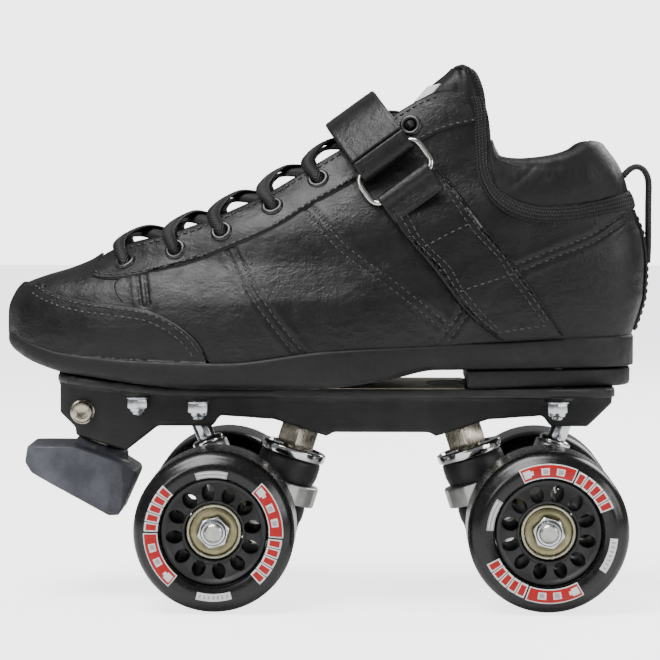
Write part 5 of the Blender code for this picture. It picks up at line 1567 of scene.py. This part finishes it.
STAY_HALF = 5.2
stay_z = np.linspace(107.2, 155.4, 90)
stay_round = STAY_HALF / 215.0
stay_low = np.stack([np.full(90, 1 - stay_round), stay_z], axis=1)
stay_high = np.stack([np.full(90, 1 + stay_round), stay_z], axis=1)
back_stay = panel("back_stay", stay_low, stay_high, leather_rows(8, 1.1, -0.2, 0.7), leather, soft_relief)
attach(back_stay, "skate")
stay_runs = []
for share in (-0.72, 0.72):
    around = np.full(90, 1 + share * stay_round)
    normals = boot_normal(around, stay_z)
    stay_runs.append(
        (boot_at(around, stay_z) + normals * (0.9 + soft_relief(around, stay_z))[:, None], normals)
    )
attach(stitches("back_stay_stitching", stay_runs), "skate")

# ---------------------------------------------------------------------------------------------------------
# Collar and tongue: soft leather stuffed with foam. The collar rolls over its top edge, and the tongue fills
# the throat under the laces and stands above them, with a woven edge and a plain white patch.
# ---------------------------------------------------------------------------------------------------------

COLLAR_FROM = (
    (63.3, 182.6), (63.2, 178.1), (64.2, 169.5), (69.2, 162.0), (80.9, 157.2), (92.6, 157.2), (105.4, 158.8),
    (118.0, 161.8),
)
COLLAR_TO = (
    (65.6, 184.2), (66.8, 180.6), (69.6, 177.8), (79.8, 177.0), (90.9, 177.8), (99.0, 180.3), (104.6, 183.6),
    (107.4, 184.6),
)
COLLAR_DEEP = 8.4

soft_leather = finish_of("soft_leather", 0.5, Specular_IOR_Level=0.36)
where = place_on(soft_leather)
shader_link(
    soft_leather,
    "Base Color",
    tint(
        soft_leather,
        blotches(soft_leather, where, 0.06, 5.0),
        (0.0030, 0.0030, 0.0032),
        (0.0070, 0.0070, 0.0073),
    ),
)
shader_link(
    soft_leather, "Roughness", between(soft_leather, blotches(soft_leather, where, 0.9, 4.0), 0.42, 0.6)
)
dents = relief(
    soft_leather, blotches(soft_leather, place_on(soft_leather, scale=(1, 1, 0.5)), 0.09, 3.0), 0.9
)
relief(soft_leather, blotches(soft_leather, where, 2.2, 4.0), 0.09, below=dents)


def puffed(around, z):
    """Slow swells in foam under leather, with short creases that run down."""
    points = boot_at(around, z)
    slow = np.array([noise.noise(Vector(point) * 0.06) for point in points])
    creases = np.array([noise.noise(Vector((a * 20.0, h * 0.06, 3.0))) for a, h in zip(around, z)])
    return 0.9 * slow - 0.3 * np.exp(-((creases / 0.14) ** 2))


collar_from = round_the_heel(heelward(COLLAR_FROM, 163.4, 150))
collar_to = round_the_heel(heelward(COLLAR_TO, 184.4, 150))
collar_rows = [(k / 16, 0, 0.5 + 1.5 * math.sin(math.pi * min(k / 13, 1)), 0.8) for k in range(0, 13)]
for k in range(13):
    angle = math.pi * k / 12
    collar_rows.append((1, -4.3 * (1 - math.sin(angle)), 0.3 - 4.35 + 4.35 * math.cos(angle), 0.5))
collar_rows += [(k / 8, 0, -COLLAR_DEEP - 0.8 * math.sin(math.pi * k / 8), 0.8) for k in range(6, 0, -1)]
collar_rows += [(0, 0, -COLLAR_DEEP, 0.0), (0, 0, -4.0, 0.0)]
collar = panel("padded_collar", collar_from, collar_to, collar_rows, soft_leather, puffed)
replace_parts(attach(collar, "skate"), "collar")

TONGUE_EDGE = (
    (139.5, -40.0), (146.0, -24.0), (152.0, -10.0), (166.0, 20.0), (178.0, 40.0), (188.0, 55.0),
    (196.0, 60.0), (203.0, 58.8), (209.0, 56.2), (213.0, 53.2), (216.0, 49.4), (217.6, 45.4), (218.2, 43.0),
)
TONGUE_TOP = 217.8
TONGUE_OFF = -8.4
TONGUE_THICK = 4.4
tongue_edge = through(TONGUE_EDGE)
tongue_z = np.concatenate([np.linspace(139.5, 205.0, 120), np.linspace(205.0, TONGUE_TOP, 56)[1:]])
tongue_round = around_at(tongue_edge(tongue_z), tongue_z)
tongue_round = np.minimum(tongue_round, 0.5)
tongue_low = np.stack([tongue_round, tongue_z], axis=1)
tongue_high = tongue_low * (-1, 1)


def tongue_swell(around, z):
    """Foam lifts the middle of the tongue, and its quilting lines draw it back in."""
    edge = np.interp(z, tongue_z, tongue_round)
    share = np.abs(around) / np.maximum(edge, 1e-3)
    rise = 2.2 * np.sqrt(np.maximum(1 - share**2, 0)) * ease((TONGUE_TOP - z) / 10.0)
    points = boot_at(around, z)
    slow = np.array([noise.noise(Vector(point) * 0.06) for point in points])
    return rise + 0.6 * slow - 0.9 * np.exp(-(((share - 0.8) / 0.05) ** 2))


tongue_rows = [
    (0, 0, TONGUE_OFF - 2.2, 0.0), (0, 0.15, TONGUE_OFF - 1.0, 0.5), (0, 0.7, TONGUE_OFF - 0.3, 0.9)
]
tongue_rows += [(k / 44, 0, TONGUE_OFF, 1.0) for k in range(2, 43)]
tongue_rows += [
    (1, -0.7, TONGUE_OFF - 0.3, 0.9), (1, -0.15, TONGUE_OFF - 1.0, 0.5), (1, 0, TONGUE_OFF - 2.2, 0.0)
]
tongue_rows += [(1, -0.3, TONGUE_OFF - 3.9, 0.0)]
tongue_rows += [(k / 12, 0, TONGUE_OFF - TONGUE_THICK, 0.0) for k in range(11, 0, -1)]
tongue_rows += [(0, 0.3, TONGUE_OFF - 3.9, 0.0)]
tongue = panel("padded_tongue", tongue_low, tongue_high, tongue_rows, soft_leather, tongue_swell)
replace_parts(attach(tongue, "skate"), "tongue")

edging_rings, edging_uv, run = [], [], 0.0
edge_line = np.concatenate([tongue_low[60:], tongue_high[60:][::-1]])
edge_points = boot_at(edge_line[:, 0], edge_line[:, 1])
edge_points += boot_normal(edge_line[:, 0], edge_line[:, 1]) * (TONGUE_OFF - TONGUE_THICK / 2)
edge_points = drawn(edge_points[::5], None, spacing=1.6)
for k, point in enumerate(edge_points):
    ahead, behind = edge_points[min(k + 1, len(edge_points) - 1)], edge_points[max(k - 1, 0)]
    along = (ahead - behind) / np.linalg.norm(ahead - behind)
    out = np.cross(along, (-0.8, 0.0, 0.45))
    out = out / np.linalg.norm(out)
    over = np.cross(along, out)
    turns = np.linspace(0, 2 * np.pi, 16, endpoint=False)
    edging_rings.append(
        point + np.outer(np.cos(turns) * 1.7, out) + np.outer(np.sin(turns) * (TONGUE_THICK / 2 + 0.5), over)
    )
    edging_uv.append(np.stack([np.full(16, run), turns * 2.4], axis=1))
    run += 1.6
edging = looped(edging_rings, edging_uv, "tongue_edging", tape)
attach(edging, "skate")

patch_finish = mottled("plain_patch", (0.72, 0.72, 0.70), (0.82, 0.82, 0.80), (0.55, 0.7), 0.2, 2.2, 0.05)
patch_z = np.linspace(203.0, 209.4, 24)
patch_low = np.stack([np.full(24, 0.17), patch_z], axis=1)
patch_rows = leather_rows(30, 0.5, TONGUE_OFF + 0.2, 0.3)
patch = panel("tongue_patch", patch_low, patch_low * (-1, 1), patch_rows, patch_finish, tongue_swell)
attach(patch, "skate")

# ---------------------------------------------------------------------------------------------------------
# Lace: one flat herringbone lace, which rises out of each eyelet, crosses the tongue and dives under the
# opposite eyestay, seven times over.
# ---------------------------------------------------------------------------------------------------------

LACE_OVER = 2.6
LACE_UNDER = 5.5
LACE_WIDE = 2.9
LACE_PINCHED = 1.7
LACE_THICK = 0.85
THROAT_WAY = 7.0
CORD_SIDES = 16
CORD_SQUARENESS = 0.75
CROSSING_UP = np.array((-0.5, 0.0, 0.85))


def lace_at(index, side, rise, toward=0.0):
    """(point, surface normal, way to the throat) at an eyelet or some way from it toward the throat."""
    last = len(EYELETS) - 1
    ahead = np.array(EYELETS[min(index + 1, last)])
    behind = np.array(EYELETS[max(index - 1, 0)])
    along = (ahead - behind) / np.linalg.norm(ahead - behind)
    x, z = EYELETS[index][0] - along[1] * toward, EYELETS[index][1] + along[0] * toward
    point, normal = on_upper(x, z, side, rise)
    inward = on_upper(x - along[1] * 2, z + along[0] * 2, side, rise)[0] - point
    return point, normal, inward / np.linalg.norm(inward)


def lace_half(first_side):
    """Knots of (point, facing, half width) from the toe end's bar to the last eyelet."""
    knots, side, facing = [], first_side, 1.0
    last = len(EYELETS) - 1
    for index in range(last):
        on_top = (side == first_side) == (first_side < 0)
        point, normal, inward = lace_at(index, side, -LACE_UNDER)
        knots.append((point, facing * inward, LACE_PINCHED))
        point, normal, inward = lace_at(index, side, LACE_OVER)
        knots.append((point, facing * (inward - normal) / math.sqrt(2), LACE_PINCHED + 0.4))
        facing = -facing
        edge, normal, inward = lace_at(index, side, LACE_OVER, THROAT_WAY)
        knots.append((edge, facing * normal, LACE_WIDE))
        corners = [lace_at(k, s, 0, THROAT_WAY)[0] for k in (index, index + 1) for s in (-1, 1)]
        middle = np.mean(corners, axis=0) + CROSSING_UP * (4.6 if on_top else 2.4)
        knots.append((middle, facing * CROSSING_UP, LACE_WIDE))
        side = -side
        point, normal, inward = lace_at(index + 1, side, -LACE_UNDER, THROAT_WAY)
        knots.append((point, facing * normal, LACE_WIDE))
    point, normal, inward = lace_at(last, side, -LACE_UNDER)
    knots.append((point, facing * inward, LACE_PINCHED))
    point, normal, inward = lace_at(last, side, LACE_OVER)
    knots.append((point, facing * (inward - normal) / math.sqrt(2), LACE_PINCHED))
    return knots


def flat_cord(name, knots, thick, material, spacing=0.9):
    """A flat braided band through knots of (point, facing, half width)."""
    line = drawn(
        [(*point, *(np.array(facing) * 4), wide) for point, facing, wide in knots], None, spacing=spacing
    )
    rings, marks, run = [], [], 0.0
    turns = np.linspace(0, 2 * np.pi, CORD_SIDES, endpoint=False)
    for k, here in enumerate(line):
        ahead, behind = line[min(k + 1, len(line) - 1)][:3], line[max(k - 1, 0)][:3]
        along = (ahead - behind) / max(np.linalg.norm(ahead - behind), 1e-6)
        facing = here[3:6] - along * along.dot(here[3:6])
        facing /= max(np.linalg.norm(facing), 1e-6)
        side = np.cross(along, facing)
        out = np.sign(np.cos(turns)) * np.abs(np.cos(turns)) ** CORD_SQUARENESS * here[6]
        up = np.sign(np.sin(turns)) * np.abs(np.sin(turns)) ** CORD_SQUARENESS
        up = up * thick * LACE_WIDE / max(here[6], 1.0)
        rings.append(here[:3] + np.outer(out, side) + np.outer(up, facing))
        marks.append(np.stack([np.full(CORD_SIDES, run), out], axis=1))
        run += spacing
    return looped(rings, marks, name, material)


front_bar = (lace_at(0, -1, -LACE_UNDER)[0] + lace_at(0, 1, -LACE_UNDER)[0]) / 2
lace_knots = list(reversed(lace_half(-1)))
front_facing = CROSSING_UP * np.sign(CROSSING_UP.dot(lace_knots[-1][1]) or 1.0)
lace_knots += [(front_bar, front_facing, LACE_WIDE)]
lace_knots += lace_half(1)
lace = flat_cord("braided_lace", lace_knots, LACE_THICK, braid)
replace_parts(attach(lace, "skate"), "lace")

# ---------------------------------------------------------------------------------------------------------
# Strap: a lined leather strap over the instep. It turns round the upper bar of a nickelled ring and lies back
# on itself, and the ring is held by a wide leather anchor sewn down to the sole.
# ---------------------------------------------------------------------------------------------------------

STRAP_WIDTH = 24.0
STRAP_THICK = 1.8
STRAP_MIDDLE = np.array((9.4, 0.0, 195.0))
STRAP_ALONG = np.array((0.81, 0.0, 0.586)) / math.hypot(0.81, 0.586)
STRAP_RISE = np.array((-STRAP_ALONG[2], 0.0, STRAP_ALONG[0]))
RING_TOP_RISE = -22.5
RING_LOW_RISE = -36.5
RING_WIRE = 1.2
STRAP_LIFT = STRAP_THICK / 2 + 0.8
LACE_LIFT = STRAP_LIFT + 5.4
WRAP = RING_WIRE + 0.3 + STRAP_THICK / 2 + 0.7
ANCHOR_COLUMNS = 200
ANCHOR_THREAD_LIFT = 2.6
ANCHOR_FRONT = ((24.5, 157.0), (28.4, 148.3), (40.9, 133.3), (54.2, 115.9), (67.6, 104.8))
ANCHOR_BACK = ((44.6, 171.5), (52.5, 161.6), (60.8, 150.8), (74.1, 134.1), (84.9, 119.2), (93.5, 106.4))


def in_strap_plane(across, rise):
    return STRAP_MIDDLE + np.array((0.0, across, 0.0)) + STRAP_RISE * rise


def clear_of_boot(rise, gap):
    """How far out a straight line across the strap's width stands, to clear the boot by gap."""
    spots = [in_strap_plane(0, rise) + STRAP_ALONG * along for along in (-14, -7, 0, 7, 14)]
    widths = []
    for x, _, z in spots:
        at = around_at(np.array([x]), np.array([z]))
        widths.append(section(np.array([z]), turn_at(at, np.array([z])))[1][0])
    return max(widths) + gap


def strap_line(corners, spacing=1.0):
    """(points, outward normals) along a smooth line through (across, rise) places."""
    line = drawn(corners, None, spacing=spacing)
    ahead = np.gradient(line, axis=0)
    ahead /= np.linalg.norm(ahead, axis=1, keepdims=True)
    points = np.array([in_strap_plane(*place) for place in line])
    normals = STRAP_RISE * ahead[:, :1] - np.array((0.0, 1.0, 0.0)) * ahead[:, 1:]
    return points, normals


def strap_piece(name, points, normals, across, width, thick, material, swell=0.35, round_end=0.0):
    """A leather band with rolled edges and a sunk line inside each, along points with outward normals."""
    half = width / 2
    face = [(-half, 0.0), (-half + 0.15, 0.55), (-half + 0.6, 0.9), (-half + 1.3, 1.0), (-half + 2.2, 0.86)]
    face += [(-half + 3.4, 1.0)] + [
        (x, 1.0 + swell * (1 - (x / half) ** 2)) for x in np.linspace(-half + 5, half - 5, 9)
    ]
    face += [(-x, h) for x, h in reversed(face[:6])]
    back = [(-x, -min(h, 1.0)) for x, h in face[1:-1]]
    rings, marks = [], []
    run = np.concatenate([[0], np.cumsum(np.linalg.norm(np.diff(points, axis=0), axis=1))])
    for k, (point, normal) in enumerate(zip(points, normals)):
        left = run[-1] - run[k]
        share = 1.0
        if round_end and left < round_end:
            share = math.sqrt(max(1 - ((round_end - left) / round_end) ** 2, 0.02))
        rings.append(np.array([point + across * x * share + normal * h * thick / 2 for x, h in face + back]))
        marks.append(np.array([(run[k], x) for x, _ in face + back]))
    return looped(rings, marks, name, material)


def along_edges(points, normals, across, width, thick, inset=2.2, ends=3):
    """Stitch rows just inside both edges of a band."""
    rows = []
    for way in (-1, 1):
        line = points + across * way * (width / 2 - inset) + normals * (thick / 2 * 0.86)
        rows.append((line[ends:-ends], normals[ends:-ends]))
    return rows


top_bar = clear_of_boot(RING_TOP_RISE, STRAP_LIFT + WRAP + 1.0)
low_bar = clear_of_boot(RING_LOW_RISE, RING_WIRE + 1.4)
inner_run = [(clear_of_boot(rise, STRAP_LIFT), rise) for rise in (-72.0, -56.0, -42.0, -32.0)]
inner_run += [(clear_of_boot(rise, LACE_LIFT), rise) for rise in (-24.0, -16.5)]
crest = [(16.5, -4.2), (0.0, -1.0), (-18.5, -4.5), (-clear_of_boot(-16.5, LACE_LIFT), -16.5)]
fold = [
    (-top_bar + WRAP, RING_TOP_RISE),
    (-top_bar + WRAP * 0.7, RING_TOP_RISE - WRAP * 0.7),
    (-top_bar, RING_TOP_RISE - WRAP),
    (-top_bar - WRAP * 0.7, RING_TOP_RISE - WRAP * 0.7),
    (-top_bar - WRAP, RING_TOP_RISE),
    (-top_bar - WRAP + 0.6, RING_TOP_RISE + 5.0),
]
points, normals = strap_line(inner_run + crest + fold, 0.8)
strap = strap_piece("leather_strap", points, normals, STRAP_ALONG, STRAP_WIDTH, STRAP_THICK, leather, 0.1)
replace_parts(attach(strap, "skate"), "strap")

over = STRAP_THICK + 0.7
tab_corners = [
    (18.0, -2.4), (11.0, 0.7), (0.0, -1.0 + over), (-19.4, -4.5 + over),
    (-top_bar - WRAP + 0.7, RING_TOP_RISE + 5.6),
]
points, normals = strap_line(tab_corners, 0.8)
tab = strap_piece(
    "leather_strap_tab", points[::-1], normals[::-1], STRAP_ALONG, STRAP_WIDTH, STRAP_THICK, leather, 0.5, 5.0
)
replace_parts(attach(tab, "strap_tab"), "strap_tab")
sewn = along_edges(points, normals, STRAP_ALONG, STRAP_WIDTH, STRAP_THICK + 0.1, 2.2, 6)
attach(stitches("strap_tab_stitching", sewn), "strap_tab")

nickel = metal("bright_nickel", (0.66, 0.64, 0.60), (0.82, 0.80, 0.76), (0.08, 0.18), 4.0, 0.01)
half = STRAP_WIDTH / 2 + 2.4
corners = []
for y, rise, turn in ((-top_bar, RING_TOP_RISE, 1), (-low_bar, RING_LOW_RISE, -1)):
    for way in (-turn, turn):
        corners.append(in_strap_plane(y, rise) + STRAP_ALONG * half * way)
RING_CORNER = 5.0
wire = []
for k, corner in enumerate(corners):
    before, after = corners[k - 1] - corner, corners[(k + 1) % 4] - corner
    start = corner + before / np.linalg.norm(before) * RING_CORNER
    end = corner + after / np.linalg.norm(after) * RING_CORNER
    for t in np.linspace(0, 1, 10):
        wire.append(start * (1 - t) ** 2 + 2 * corner * t * (1 - t) + end * t**2)
    gap = corners[(k + 1) % 4] + (corner - corners[(k + 1) % 4]) / np.linalg.norm(after) * RING_CORNER - end
    wire += [end + gap * t for t in np.linspace(0, 1, 8)[1:-1]]
wire = np.array(wire)
flat = np.cross(corners[1] - corners[0], corners[2] - corners[1])
flat /= np.linalg.norm(flat)
wire_rings, wire_uv = [], []
for k, point in enumerate(wire):
    along = wire[(k + 1) % len(wire)] - wire[k - 1]
    out = np.cross(along / np.linalg.norm(along), flat)
    turns = np.linspace(0, 2 * np.pi, 16, endpoint=False)
    wire_rings.append(point + RING_WIRE * (np.outer(np.cos(turns), out) + np.outer(np.sin(turns), flat)))
    wire_uv.append(np.stack([np.full(16, k), turns], axis=1))
ring = looped(wire_rings, wire_uv, "nickel_ring", nickel, closed=True)
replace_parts(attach(ring, "skate"), "strap_ring")

anchor_front = on_boot(ANCHOR_FRONT, ANCHOR_COLUMNS)
anchor_back = on_boot(ANCHOR_BACK, ANCHOR_COLUMNS)
anchor = panel(
    "leather_anchor", anchor_front, anchor_back, leather_rows(28, 1.7, 0.9, 1.2), leather, soft_relief
)
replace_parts(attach(anchor, "skate"), "strap_anchor")
anchor_loop = [
    (-clear_of_boot(-46.0, 2.3), -46.0), (-clear_of_boot(-41.0, 2.6), -41.0), (-low_bar - 1.6, -38.6),
    (-low_bar - 2.2, -36.5),
    (-low_bar - 1.5, -34.7), (-low_bar, -34.2), (-low_bar + 1.0, -35.6),
]
points, normals = strap_line(anchor_loop, 0.6)
turn_over = strap_piece("anchor_turnover", points, normals, STRAP_ALONG, STRAP_WIDTH, 1.5, leather, 0.1)
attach(turn_over, "skate")


def anchor_row(start, end):
    """Stitch places between two (share across, share down) places of the anchor."""
    shares = np.linspace(0, 1, 60)[:, None]
    across, down = (np.array(start) + (np.array(end) - np.array(start)) * shares).T
    columns, every = down * (ANCHOR_COLUMNS - 1), np.arange(ANCHOR_COLUMNS)
    front = np.stack([np.interp(columns, every, anchor_front[:, k]) for k in (0, 1)], axis=1)
    back = np.stack([np.interp(columns, every, anchor_back[:, k]) for k in (0, 1)], axis=1)
    spots = front + (back - front) * across[:, None]
    normals = boot_normal(spots[:, 0], spots[:, 1])
    lift = ANCHOR_THREAD_LIFT + soft_relief(spots[:, 0], spots[:, 1])
    return boot_at(spots[:, 0], spots[:, 1]) + normals * lift[:, None], normals


anchor_runs = []
for inset in (0.09, 0.17):
    anchor_runs.append(anchor_row((inset, 0.04), (inset, 0.93)))
    anchor_runs.append(anchor_row((1 - inset, 0.04), (1 - inset, 0.93)))
for down in (0.05, 0.30, 0.62, 0.93):
    anchor_runs.append(anchor_row((0.09, down), (0.91, down)))
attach(stitches("anchor_stitching", anchor_runs), "skate")

# ---------------------------------------------------------------------------------------------------------
# Heel loop and footbed: a braided pull sewn into the collar, which stands off the back for a finger and runs
# down the back stay, and the felt that lines the boot's floor.
# ---------------------------------------------------------------------------------------------------------

LOOP_OUT = 129.3
LOOP_HALF_WIDTH = 5.4
LOOP_THICK = 1.2
LOOP_LINE = (
    (119.0, 169.0), (121.6, 171.8), (124.6, 173.0), (127.6, 171.4), (LOOP_OUT, 167.0), (LOOP_OUT, 158.0),
    (LOOP_OUT, 149.0), (LOOP_OUT, 141.0), (LOOP_OUT - 0.3, 133.4),
)
loop_line = drawn(LOOP_LINE, None, spacing=0.8)
loop_ahead = np.gradient(loop_line, axis=0)
loop_ahead /= np.linalg.norm(loop_ahead, axis=1, keepdims=True)
loop_knots = [
    ((x, 0.0, z), (-dz, 0.0, dx), LOOP_HALF_WIDTH)
    for (x, z), (dx, dz) in zip(loop_line[::3], loop_ahead[::3])
]
heel_loop = flat_cord("braided_heel_loop", loop_knots, LOOP_THICK / LACE_WIDE * LOOP_HALF_WIDTH, braid, 0.8)
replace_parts(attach(heel_loop, "skate"), "heel_loop")

lining_finish = mottled(
    "felt_lining", (0.012, 0.012, 0.012), (0.03, 0.03, 0.03), (0.85, 0.95), 0.15, 1.8, 0.12
)
footbed = finished(fresh_copy("insole", "felt_footbed"), lining_finish, 60)
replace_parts(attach(footbed, "skate"), "insole")
